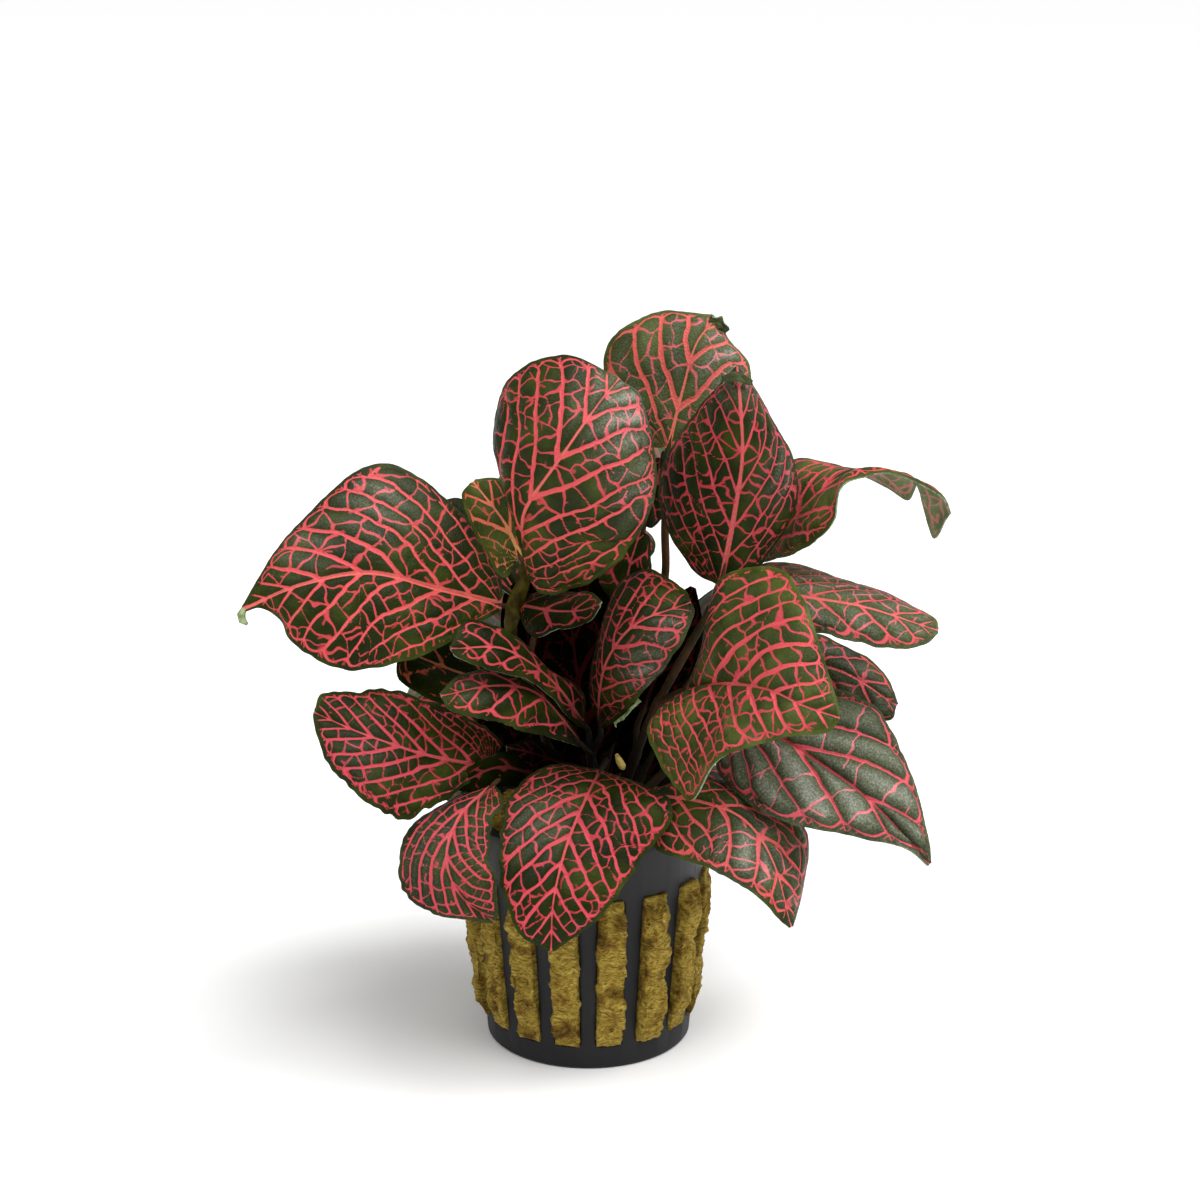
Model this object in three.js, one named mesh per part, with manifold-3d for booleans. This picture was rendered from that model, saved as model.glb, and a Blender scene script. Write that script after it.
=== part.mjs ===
// A nerve plant (Fittonia) in a slotted net pot packed with mineral wool.
// Millimetres. +X is right, +Y is away from the viewer, +Z is up. The origin is the centre of the pot's
// underside. Each blade, each leafy shoot, the wool and the pot is a solid of its own.
import * as THREE from "three";
import { mergeVertices } from "three/addons/utils/BufferGeometryUtils.js";
import Module from "manifold-3d";

const wasm = await Module();
wasm.setup();

// ---- Driving dimensions ----

const CLEARANCE = 0.3; // left between pieces that meet

const POT_HEIGHT = 50;
const POT_TOP_RADIUS = 25.2;
const POT_BASE_RADIUS = 21;
const POT_WALL = 1.2;
const POT_FLOOR = 1.6;
const RIM_RADIUS = 26.8;
const RIM_DEPTH = 1.6;
const FOOT_HEIGHT = 5; // plain ring under the slots
const BAND_HEIGHT = 12; // plain band between the slots and the rim
const SLOTS = 16;
const SLOT_SHARE = 0.64; // of the pitch between two ribs
const FLOOR_SLOTS = 8;
const FLOOR_SLOT_WIDTH = 2.4;
const FLOOR_DISC_RADIUS = 7; // solid middle of the floor
const WALL_FACETS = 48;

const WOOL_TOP = 46;
const WOOL_CROWN = 1.5; // the top is this much higher in the middle
const CROWN_SHOULDER = { across: 0.6, up: 0.7 }; // shares of the top's radius and of the crown
const PAD_BULGE = 2.2; // how far the wool stands proud of the slots
const PAD_BULGE_SPREAD = 0.9; // how much that differs from slot to slot
const PAD_STEP = 1.3; // turn of the wave that spreads it, in radians a slot
const HOLE_DEPTH = 16;

const STEM_RADIUS = 1.0;
const PETIOLE_RADIUS = 0.62;
const BLADE_THICKNESS = 0.7;
const BLADE_ROWS = 9; // from base to tip
const PLAIN_ROWS = 7; // the same, for a plain blade
const BLADE_COLUMNS = 3; // from midrib to margin, on each half
const BLADE_BASE_HALF = 1.0; // half width where the petiole meets the blade
const BLADE_TIP_HALF = 0.6;
const HALVES_PART = 1.6; // how fast the two halves take their own slopes past the base and before the tip
const BLADE_CAMBER = 0.07; // how far each half is puffed up, as a share of its width
const MARGIN_WAVE = 0.5; // height of the margin's waves
const MARGIN_WAVES = 2;

// Half widths of a plain blade near its base, at its middle and near its tip, as shares of its spread.
const PLAIN_EDGE = [
  { at: 0.1, share: 0.6 },
  { at: 0.38, share: 1 },
  { at: 0.74, share: 0.78 },
];

// ---- Shoots: a stem through these points, the first two inside the wool ----

const FOOT_Z = WOOL_TOP - HOLE_DEPTH + CLEARANCE;
const SHOOTS = {
  left: { foot: [-6, -1], stem: [[-8, -3, 62], [-12, -6, 78], [-15, -8.5, 90], [-12.5, -9, 101.5]] },
  top: { foot: [2, 4], stem: [[6, 6, 66], [12.5, 7.5, 84], [15.5, 8, 95], [15.5, 8, 106], [16, 9, 118]] },
  right: { foot: [6, -4], stem: [[9.5, -6, 62], [14, -8, 74], [20, -8.5, 86], [24.5, -8.5, 94]] },
  far_right: { foot: [9, 2], stem: [[15, 3, 64], [23, 3, 80], [29, 3, 91], [31.5, 3, 96]] },
  centre: { foot: [0, -6], stem: [[0.5, -7, 56], [0.5, -7.5, 63]] },
  low_left: { foot: [-7, -7], stem: [[-9, -9, 54], [-14, -14, 60.5]] },
  low_right: { foot: [8, -9], stem: [[11, -9, 55], [19, -6, 62], [27, -4, 69]] },
  back_left: { foot: [-5, 6], stem: [[-8, 11, 64], [-9, 14, 78], [-8, 15.5, 92]] },
  back_right: { foot: [5, 10], stem: [[9, 15, 62], [11.5, 17, 80], [11, 18, 94], [11, 19, 104]] },
};

// ---- Leaves ----
// rib: the midrib from base to tip. right and left: the margin on each side, from base to tip, seen from
// above with the tip ahead; where a side is one vector, it is the spread of a plain blade's half.
// shoot and node say which stem point the petiole grows from, counting from the first point above the wool.

const LEAVES = {
  upper_front: {
    shoot: "left", node: 3, rows: 12,
    rib: [[-12, -12, 104.5], [-12, -18, 116], [-5, -22, 128], [2, -19, 137.5], [6, -14, 141.4]],
    right: [[-8, -17.5, 99.5], [5, -18.5, 105.5], [13, -14, 120], [10.6, -12, 136.3]],
    left: [[-15, -11, 116.5], [-18.6, -6, 128.5], [-14.6, -6, 139.8], [-4, -11, 145.1]],
  },
  upper_small: {
    shoot: "left", node: 3,
    rib: [[-13, -9.5, 104.5], [-16.5, -6, 111], [-22.6, -2, 118]],
    right: [[-13, -7, 109.5], [-13.5, -4, 116], [-17.5, -1, 118.5]],
    left: [[-16.5, -9.5, 100.5], [-21, -7, 106.5], [-24.8, -3, 114.6]],
  },
  left_large: {
    shoot: "left", node: 2,
    rib: [[-17, -10, 95], [-29, -14, 99.5], [-42, -18, 104], [-55, -21, 102.5], [-66.3, -21, 97.6]],
    right: [[-18, -4, 101.5], [-26.2, -2, 112.9], [-41, -4, 122], [-57.4, -12, 110.8]],
    left: [[-22, -15, 92.5], [-32.5, -22, 88.3], [-46.5, -25, 86.8], [-56.5, -24, 91.6],
      [-58.9, -22.5, 95.7], [-62.7, -21.5, 98]],
  },
  under_upper: {
    shoot: "left", node: 2,
    rib: [[-13, -12, 95.5], [-7, -20, 97], [-1.5, -27, 99], [2.5, -32, 102]],
    right: [[-11, -20, 92], [-5, -26, 95], [0.5, -31, 98.5]],
    left: [[-10.5, -9, 97], [-4.5, -13, 99], [1, -23, 101]],
  },
  back_left_top: {
    shoot: "left", node: 1,
    rib: [[-14, 2, 93], [-21, 6, 102.5], [-29, 9, 111]],
    right: [[-14, 7, 99], [-19, 10, 107], [-25.5, 11, 111]],
    left: [[-19.5, 0, 97], [-26, 3, 102.5], [-30, 6, 108]],
  },
  back_left_dark: {
    shoot: "left", node: 0,
    rib: [[-14, 4, 72.5], [-26, 2, 77], [-38, 2, 82]],
    right: [[-18, 8, 79], [-27, 10, 83.5], [-37.5, 7, 84]],
    left: [[-20, 0, 70], [-30, -2, 72], [-38, -1, 76.5]],
  },
  top: {
    shoot: "top", node: 4,
    rib: [[16, 9, 122], [19, 12, 133.5], [21.5, 14, 142], [25.5, 17, 147]],
    right: [[22.5, 12, 123], [31.5, 15, 129.5], [32.6, 17, 136.6], [28.2, 18, 142.4]],
    left: [[10.5, 11, 123], [3.7, 14, 132.5], [4.3, 15, 142.4], [14, 17, 148]],
  },
  top_lower: {
    shoot: "top", node: 4,
    rib: [[15, 12, 119], [13.5, 14, 112.5], [11, 15, 104.5]],
    right: [[11.5, 14, 118], [9, 16, 112], [8.5, 16, 106]],
    left: [[18.5, 14, 116.5], [17, 16, 109.5], [13.5, 16, 104]],
  },
  behind_upper: {
    shoot: "top", node: 1,
    rib: [[8, 4, 87], [8, 5, 96.5], [10.5, 7, 105.5]],
    right: [[11.5, 5, 89.5], [12.5, 6, 97], [12.5, 8, 103]],
    left: [[2, 4, 88.5], [-2.5, 6, 95], [2, 8, 102]],
  },
  right_upper: {
    shoot: "right", node: 3,
    rib: [[26, -10, 99], [28, -14, 112.5], [29.5, -18, 126.5], [29, -17, 137.5], [28.5, -13, 143.6]],
    right: [[33.5, -10, 103], [40.5, -7, 113.5], [39.9, -8, 123], [34.4, -9, 135]],
    left: [[20.5, -6, 101.5], [14.5, -3, 112.5], [14.5, -4, 122], [21.5, -7, 133.5]],
  },
  right_front: {
    shoot: "right", node: 1,
    rib: [[19.5, -15, 79], [26.5, -27, 84.5], [34, -38, 87], [40.5, -43, 85.5], [47, -44, 83.5]],
    right: [[11.5, -24, 73.5], [19.5, -34, 63.5], [25.5, -40, 74], [36, -44, 79.5], [44.5, -45, 81]],
    left: [[23, -14, 89], [26, -16, 102.5], [36.5, -22, 106], [41.5, -30, 101], [45.5, -39, 89.5]],
  },
  right_ragged: {
    shoot: "far_right", node: 3, rows: 18,
    rib: [[35, 2, 101], [42.5, -2, 112.5], [49, -4, 119], [56, -6, 122], [63.2, -8, 120.4], [68.4, -9, 117.8],
      [70.6, -10, 113.6]],
    right: [[40.7, -6, 104.4], [44.9, -11, 109.4], [47.9, -12, 113], [49.3, -11, 118.5],
      [53.5, -9, 120.5], [58.5, -9, 121.8], [64.2, -10, 120], [68.8, -11, 117]],
    left: [[33, 10, 110], [39.5, 11, 118.5], [48.5, 8, 119.5], [55, 3, 118], [59.5, 0, 116],
      [63.3, -2, 113.9], [64.5, -4, 118], [66, -4, 114], [68, -5, 107.3], [69.8, -8, 111.5]],
  },
  right_behind: {
    shoot: "far_right", node: 3,
    rib: [[33, -3, 96.5], [41.5, -10, 97], [55, -14, 95.6], [68.5, -14, 91]],
    right: [[34, -10, 92], [44.5, -16, 91.2], [57, -18, 89], [65, -17, 88.8]],
    left: [[35.5, 2, 100], [47, 2, 98.4], [58.5, -4, 95.6], [67.6, -10, 92.9]],
  },
  right_back: {
    shoot: "far_right", node: 2,
    rib: [[33, 9, 90], [41, 14, 93], [48.5, 18, 90]],
    right: [[35, 6, 88], [42, 10, 89], [47.5, 15, 88]],
    left: [[35, 12, 93], [41.5, 17, 95.5], [46.5, 19, 92.5]],
  },
  centre_right: {
    shoot: "centre", node: 1,
    rib: [[2.5, -10, 70], [2.5, -14, 79], [4.5, -19, 88], [10, -21, 95], [20, -18, 98]],
    right: [[6.5, -16, 74], [12, -22, 82.5], [18, -24, 91.5], [20.5, -20, 96]],
    left: [[0.5, -8, 76.5], [2, -8, 87], [5.5, -8, 97.5], [12, -10, 102], [18.5, -15, 100]],
  },
  centre_left_upper: {
    shoot: "centre", node: 1,
    rib: [[-1, -9, 70], [-7.5, -17, 82], [-16, -24, 90.5], [-26, -30, 92.5]],
    right: [[-1.5, -7.5, 76.5], [-8.5, -14, 84], [-16, -19, 92.5], [-23, -24, 96.5]],
    left: [[-4.5, -13.5, 73.5], [-10, -22, 83], [-18.5, -28, 87.5], [-24.5, -31, 91]],
  },
  centre_left_lower: {
    shoot: "centre", node: 1,
    rib: [[-1.5, -12, 67], [-9.5, -18, 79], [-18, -24, 83], [-28, -30, 83]],
    right: [[-4.5, -10.5, 71.5], [-10.5, -13.5, 79], [-19, -19, 84.5], [-25, -26, 85.5]],
    left: [[-4.5, -17, 69], [-13, -24, 74], [-20.5, -29, 78], [-26, -31, 80.5]],
  },
  bottom_centre: {
    shoot: "centre", node: 0,
    rib: [[2.5, -16, 62.5], [-0.5, -26, 60], [-4, -34, 54], [-6.5, -40, 45], [-7, -42, 35.5]],
    right: [[-8.5, -18, 64], [-15.5, -26, 60], [-17, -36, 49.5], [-13.5, -41, 39.5]],
    left: [[10.5, -20, 61], [16.5, -27, 58.5], [11, -34, 51.5], [2.5, -40, 42]],
  },
  inner_centre: {
    shoot: "centre", node: 0,
    rib: [[1, -3.5, 61], [-2, -3, 78], [-4, -2, 95]], right: [9, 0, 1], left: [-8, 2, 0],
  },
  inner_left: {
    shoot: "back_left", node: -1,
    rib: [[-6.5, 3.5, 53.5], [-9, 3, 60], [-12.5, 3.5, 67]],
    right: [7, 0.5, 1.5],
    left: [-8.5, 0, -3],
  },
  inner_back: {
    shoot: "back_right", node: -1,
    rib: [[4.5, 8.2, 53], [6, 8, 62], [9, 9, 72]],
    right: [7, 0.3, -1],
    left: [-6, 0.3, 1],
  },
  inner_right: {
    shoot: "right", node: 0,
    rib: [[11, -2, 70], [16, -2, 84], [21, -1, 96]], right: [6, 1, -3], left: [-6, 2, 2],
  },
  lower_left: {
    shoot: "low_left", node: 1,
    rib: [[-19, -19, 64.5], [-30.5, -25, 69], [-42, -29, 74.5], [-52.3, -31, 80]],
    right: [[-17.5, -15, 69], [-26, -16, 75.2], [-39.5, -20, 80.7], [-50.3, -27, 82.6]],
    left: [[-23.5, -24, 62.7], [-36, -33, 59.2], [-45.5, -36, 67], [-50.7, -35, 74.3]],
  },
  lower_left_hanging: {
    shoot: "low_left", node: 1,
    rib: [[-18.7, -22, 61.8], [-24.5, -30, 58.7], [-27, -36, 52.5], [-24.5, -38, 45.5], [-18, -38, 40]],
    right: [[-25, -23, 60], [-35.2, -30, 55.4], [-36, -34, 45.5], [-30.3, -38, 41.8]],
    left: [[-16.5, -26, 60], [-19, -33, 55.5], [-18, -38, 49.5], [-17, -39, 43.5]],
  },
  low_small: {
    shoot: "centre", node: 0,
    rib: [[-4.5, -10, 61.8], [-10.5, -12, 64.6], [-16, -15, 67.2]],
    right: [[-6.5, -6, 63.5], [-11.5, -9, 66.5], [-15.5, -13, 67]],
    left: [[-8, -11, 60], [-13, -15, 61.6], [-16, -17, 64.6]],
  },
  bottom_right: {
    shoot: "low_right", node: 0,
    rib: [[11, -20, 59], [22, -24, 59], [30.5, -27, 56.5], [36, -32, 49.5], [39.4, -36, 37.8]],
    right: [[12.5, -29, 52], [22.7, -33, 49], [31.8, -36, 45.1], [36.8, -37, 40]],
    left: [[20, -16, 60.5], [34, -14, 57.5], [42.8, -19, 51.4], [41.9, -28, 42]],
  },
  lower_right_large: {
    shoot: "low_right", node: 2,
    rib: [[30.5, -9, 72], [41.5, -20, 68.5], [54.5, -29, 61.5], [66, -34, 50]],
    right: [[25.5, -16, 63], [35.5, -28, 57.5], [49, -33, 55.9], [60.5, -35, 54]],
    left: [[41.5, -6, 77], [56, -12, 75.5], [62.6, -21, 65], [65.8, -30, 55]],
  },
  right_mid: {
    shoot: "low_right", node: 2,
    rib: [[39, 2, 79.5], [51, 0, 78], [62, -4, 72]],
    right: [[40, 0, 73], [50, -3, 70], [60, -6, 69.5]],
    left: [[43, 5, 85], [55.6, 6, 79.6], [60.6, 1, 75.6]],
  },
  right_side_low: {
    shoot: "low_right", node: 1,
    rib: [[25, 4, 60], [38, 9, 62], [52, 12, 52]], right: [2, -11, -4], left: [2, 11, 4],
  },
  back_upper_left: {
    shoot: "back_left", node: 1,
    rib: [[-11, 19, 87], [-8.5, 25, 105], [-6, 29, 122]], right: [-12, -4, 3], left: [12, -1, 2],
  },
  back_mid_left: {
    shoot: "back_left", node: 1,
    rib: [[-12, 16, 78], [-28, 25, 89], [-44, 31, 90]], right: [1, 9, -12], left: [-3, 2, 13],
  },
  back_low_left: {
    shoot: "back_left", node: 0,
    rib: [[-13, 15, 62], [-27, 28, 63], [-40, 37, 55]], right: [5, 9, -9], left: [-5, -9, 8],
  },
  back_hanging_left: {
    shoot: "back_left", node: 0,
    rib: [[-12, 18, 53.5], [-21, 28, 46.5], [-26, 34, 34]], right: [11, 5, 0], left: [-10, -5, 0],
  },
  left_side_low: {
    shoot: "back_left", node: 0,
    rib: [[-16, 8, 62], [-31, 9, 63], [-45, 11, 55]], right: [-1, 10, 5], left: [-2, -11, -4],
  },
  back_centre: {
    shoot: "back_left", node: 2,
    rib: [[0, 22, 94.5], [1, 37, 100], [0, 50, 98]], right: [13, -2, -4], left: [-12, 1, -4],
  },
  back_upper_right: {
    shoot: "back_right", node: 3,
    rib: [[13, 21, 107], [20, 30, 120], [25, 34, 133]], right: [-12, -1, 3], left: [12, -7, -2],
  },
  back_mid_right: {
    shoot: "back_right", node: 2,
    rib: [[17, 19, 80], [31, 29, 84], [43, 35, 79]], right: [2, -6, 8], left: [3, 8, -11],
  },
  back_middle: {
    shoot: "back_right", node: 1,
    rib: [[7, 23, 76], [8, 38, 78], [11, 52, 71]], right: [13, -3, -3], left: [-13, 1, -3],
  },
  back_low: {
    shoot: "back_right", node: 0,
    rib: [[0, 19, 56], [-1, 36, 57], [-1, 51, 51]], right: [13, -2, -3], left: [-13, 1, -3],
  },
  back_low_right: {
    shoot: "back_right", node: 0,
    rib: [[16, 18, 64], [32, 31, 64], [46, 38, 54]], right: [8, -9, 8], left: [-7, 11, -8],
  },
  back_hanging_right: {
    shoot: "back_right", node: 0,
    rib: [[15, 20, 53], [24, 30, 46], [28, 35, 33]], right: [-12, 4, 0], left: [11, -6, 0],
  },
};

// ---- Materials ----

const finish = (color, roughness) => new THREE.MeshStandardMaterial({ color, roughness, metalness: 0 });
const PLASTIC = finish(0x3b3b40, 0.55);
const WOOL = finish(0x97822f, 0.95);
const STEM = finish(0x5a3a26, 0.7);
const LAMINA = finish(0x3a4a2a, 0.5);

// ---- Helpers ----

const point = ([x, y, z]) => new THREE.Vector3(x, y, z);

// A geometry as a solid that can be joined and cut.
function solid(geometry) {
  const bare = geometry.clone();
  bare.deleteAttribute("normal");
  bare.deleteAttribute("uv");
  const merged = mergeVertices(bare, 1e-4);
  return new wasm.Manifold(
    new wasm.Mesh({
      numProp: 3,
      vertProperties: new Float32Array(merged.attributes.position.array),
      triVerts: new Uint32Array(merged.index.array),
    }),
  );
}

function geometryOf(body) {
  const mesh = body.getMesh();
  const geometry = new THREE.BufferGeometry();
  geometry.setAttribute("position", new THREE.BufferAttribute(new Float32Array(mesh.vertProperties), 3));
  geometry.setIndex(new THREE.BufferAttribute(new Uint32Array(mesh.triVerts), 1));
  return geometry;
}

// A smooth curve through the points, which gives a place for each share of its length.
const curveThrough = (points) => new THREE.CatmullRomCurve3(points, false, "catmullrom", 0.5);

// A rod along a curve.
function rod(curve, radius, sides, steps) {
  const section = new THREE.Shape();
  for (let i = 0; i < sides; i++) {
    const angle = (i * 2 * Math.PI) / sides;
    const x = radius * Math.cos(angle);
    const y = radius * Math.sin(angle);
    if (i === 0) section.moveTo(x, y);
    else section.lineTo(x, y);
  }
  section.closePath();
  return new THREE.ExtrudeGeometry(section, { steps, bevelEnabled: false, extrudePath: curve });
}

// ---- Pot ----

const wallRadiusAt = (z) => POT_BASE_RADIUS + ((POT_TOP_RADIUS - POT_BASE_RADIUS) * z) / POT_HEIGHT;
const SLOT_PITCH = (2 * Math.PI) / SLOTS;
const SLOT_TOP = POT_HEIGHT - BAND_HEIGHT;
const SLOT_HEIGHT = SLOT_TOP - FOOT_HEIGHT;
const SLOT_MIDDLE = FOOT_HEIGHT + SLOT_HEIGHT / 2;
const SLOT_WIDTH = SLOT_SHARE * SLOT_PITCH * wallRadiusAt(SLOT_MIDDLE);
// A rib, and not a slot, stands at the front.
const slotAngle = (i) => -Math.PI / 2 + (i + 0.5) * SLOT_PITCH;

function potGeometry() {
  const inner = (z) => wallRadiusAt(z) - POT_WALL;
  const profile = [
    [0, 0],
    [wallRadiusAt(0), 0],
    [wallRadiusAt(POT_HEIGHT - RIM_DEPTH), POT_HEIGHT - RIM_DEPTH],
    [RIM_RADIUS, POT_HEIGHT - RIM_DEPTH],
    [RIM_RADIUS, POT_HEIGHT],
    [inner(POT_HEIGHT), POT_HEIGHT],
    [inner(POT_FLOOR), POT_FLOOR],
    [0, POT_FLOOR],
  ].map(([radius, z]) => new THREE.Vector2(radius, z));
  const shell = new THREE.LatheGeometry(profile, WALL_FACETS).rotateX(Math.PI / 2);
  let pot = solid(shell);
  if (pot.volume() < 0) throw new Error("the pot's profile runs the wrong way");
  for (let i = 0; i < SLOTS; i++) {
    const slot = new THREE.BoxGeometry(POT_TOP_RADIUS, SLOT_WIDTH, SLOT_HEIGHT);
    slot.translate(POT_TOP_RADIUS, 0, SLOT_MIDDLE).rotateZ(slotAngle(i));
    pot = pot.subtract(solid(slot));
  }
  const floorSlotLength = POT_BASE_RADIUS - 2 * POT_WALL - FLOOR_DISC_RADIUS;
  for (let i = 0; i < FLOOR_SLOTS; i++) {
    const slot = new THREE.BoxGeometry(floorSlotLength, FLOOR_SLOT_WIDTH, 4 * POT_FLOOR);
    slot.translate(FLOOR_DISC_RADIUS + floorSlotLength / 2, 0, 0);
    slot.rotateZ((i * 2 * Math.PI) / FLOOR_SLOTS);
    pot = pot.subtract(solid(slot));
  }
  return geometryOf(pot);
}

// ---- Mineral wool ----

// How far a pad stands proud at each level of its slot, as shares of the slot's height and of the bulge.
const PAD_PROFILES = [
  [[0.0, 0.1], [0.12, 0.8], [0.38, 0.55], [0.62, 1.0], [0.86, 0.85], [1.0, 0.15]],
  [[0.0, 0.15], [0.2, 1.0], [0.45, 0.7], [0.7, 0.9], [0.9, 0.5], [1.0, 0.1]],
  [[0.0, 0.1], [0.15, 0.5], [0.35, 0.95], [0.6, 0.6], [0.82, 1.0], [1.0, 0.2]],
];

// Wool pressed into one slot: its outer face bulges in folds past the pot's wall.
function pad(profile, bulge) {
  const low = FOOT_HEIGHT + CLEARANCE;
  const height = SLOT_HEIGHT - 2 * CLEARANCE;
  const width = SLOT_WIDTH - 2 * CLEARANCE;
  const rootRadius = POT_BASE_RADIUS - 3 * POT_WALL;
  const outline = new THREE.Shape();
  outline.moveTo(rootRadius, low);
  for (const [at, share] of profile) {
    const z = low + at * height;
    outline.lineTo(wallRadiusAt(z) + share * bulge, z);
  }
  outline.lineTo(rootRadius, low + height);
  outline.closePath();
  const shape = new THREE.ExtrudeGeometry(outline, { depth: width, bevelEnabled: false });
  return shape.translate(0, 0, -width / 2).rotateX(Math.PI / 2);
}

function woolGeometry() {
  const radius = (z) => wallRadiusAt(z) - POT_WALL - CLEARANCE;
  const low = POT_FLOOR + CLEARANCE;
  const profile = [
    [0, low],
    [radius(low), low],
    [radius(WOOL_TOP), WOOL_TOP],
    [CROWN_SHOULDER.across * radius(WOOL_TOP), WOOL_TOP + CROWN_SHOULDER.up * WOOL_CROWN],
    [0, WOOL_TOP + WOOL_CROWN],
  ].map(([r, z]) => new THREE.Vector2(r, z));
  let wool = solid(new THREE.LatheGeometry(profile, WALL_FACETS / 2).rotateX(Math.PI / 2));
  for (let i = 0; i < SLOTS; i++) {
    const bulge = PAD_BULGE + PAD_BULGE_SPREAD * Math.sin(PAD_STEP * i);
    const shape = pad(PAD_PROFILES[i % PAD_PROFILES.length], bulge);
    wool = wool.add(solid(shape.rotateZ(slotAngle(i))));
  }
  const holeRadius = STEM_RADIUS + 2 * CLEARANCE;
  for (const { foot } of Object.values(SHOOTS)) {
    const hole = new THREE.CylinderGeometry(holeRadius, holeRadius, 2 * HOLE_DEPTH, 8);
    hole.rotateX(Math.PI / 2).translate(foot[0], foot[1], WOOL_TOP);
    wool = wool.subtract(solid(hole));
  }
  return geometryOf(wool);
}

// ---- Shoots ----

const STEM_SIDES = 6;
const PETIOLE_SIDES = 5;
const PETIOLE_STEPS = 4;
const STRAIGHT_TOP = WOOL_TOP + 2;

function stemPoints({ foot, stem }) {
  const [x, y] = foot;
  return [point([x, y, FOOT_Z]), point([x, y, STRAIGHT_TOP]), ...stem.map(point)];
}

// A petiole leaves its stem, swings round and runs into the blade's base along the midrib.
function petiole(start, leaf) {
  const base = point(leaf.rib[0]);
  const along = point(leaf.rib[1]).sub(base).normalize();
  const end = base.clone().addScaledVector(along, -CLEARANCE);
  const reach = start.distanceTo(end);
  const turn = end.clone().addScaledVector(along, -reach / 3);
  const half = start.clone().lerp(turn, 0.5);
  return rod(curveThrough([start, half, turn, end]), PETIOLE_RADIUS, PETIOLE_SIDES, PETIOLE_STEPS);
}

function shootGeometry(name) {
  const points = stemPoints(SHOOTS[name]);
  let shoot = solid(rod(curveThrough(points), STEM_RADIUS, STEM_SIDES, 2 * points.length));
  for (const leaf of Object.values(LEAVES)) {
    if (leaf.shoot === name) shoot = shoot.add(solid(petiole(points[leaf.node + 2], leaf)));
  }
  return geometryOf(shoot);
}

// ---- Blades ----

// A margin's points: given one by one, or spread from the midrib as a plain blade's.
function marginPoints(side, ribCurve) {
  if (Array.isArray(side[0])) return side.map(point);
  const spread = point(side);
  return PLAIN_EDGE.map(({ at, share }) => ribCurve.getPointAt(at).addScaledVector(spread, share));
}

const squareTo = (vector, axis) => vector.addScaledVector(axis, -vector.dot(axis)).normalize();

function marginCurve(side, rib, ribCurve) {
  const points = marginPoints(side, ribCurve);
  const [base, tip] = [rib[0], rib[rib.length - 1]];
  const start = squareTo(points[0].clone().sub(base), ribCurve.getTangentAt(0));
  const end = squareTo(points[points.length - 1].clone().sub(tip), ribCurve.getTangentAt(1));
  return curveThrough([
    base.clone().addScaledVector(start, BLADE_BASE_HALF),
    ...points,
    tip.clone().addScaledVector(end, BLADE_TIP_HALF),
  ]);
}

// Rows of places from base to tip, each from the left margin over the midrib to the right margin. A place
// is a point and the way the blade's upper face looks there.
function bladeGrid(leaf) {
  const rib = leaf.rib.map(point);
  const ribCurve = curveThrough(rib);
  const margins = [
    { side: -1, curve: marginCurve(leaf.left, rib, ribCurve) },
    { side: 1, curve: marginCurve(leaf.right, rib, ribCurve) },
  ];
  const rows = leaf.rows ?? (Array.isArray(leaf.right[0]) ? BLADE_ROWS : PLAIN_ROWS);
  const grid = [];
  for (let i = 0; i <= rows; i++) {
    const s = i / rows;
    const middle = ribCurve.getPointAt(s);
    const along = ribCurve.getTangentAt(s);
    const halves = margins.map(({ side, curve }) => {
      const reach = curve.getPointAt(s).sub(middle);
      const up = reach.clone().cross(along).multiplyScalar(side).normalize();
      const wave = Math.sin(2 * Math.PI * MARGIN_WAVES * s + side) * Math.sin(Math.PI * s);
      return { reach, up, wave };
    });
    const ridge = halves[0].up.clone().add(halves[1].up).normalize();
    const parted = Math.min(1, HALVES_PART * Math.sin(Math.PI * s));
    const row = [];
    for (let j = -BLADE_COLUMNS; j <= BLADE_COLUMNS; j++) {
      const { reach, up, wave } = halves[j < 0 ? 0 : 1];
      const out = Math.abs(j) / BLADE_COLUMNS;
      const lift = BLADE_CAMBER * reach.length() * 4 * out * (1 - out) + MARGIN_WAVE * wave * out * out;
      const at = middle.clone().addScaledVector(reach, out).addScaledVector(up, lift);
      row.push({ at, up: ridge.clone().lerp(up, j === 0 ? 0 : parted).normalize() });
    }
    grid.push(row);
  }
  return grid;
}

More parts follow.
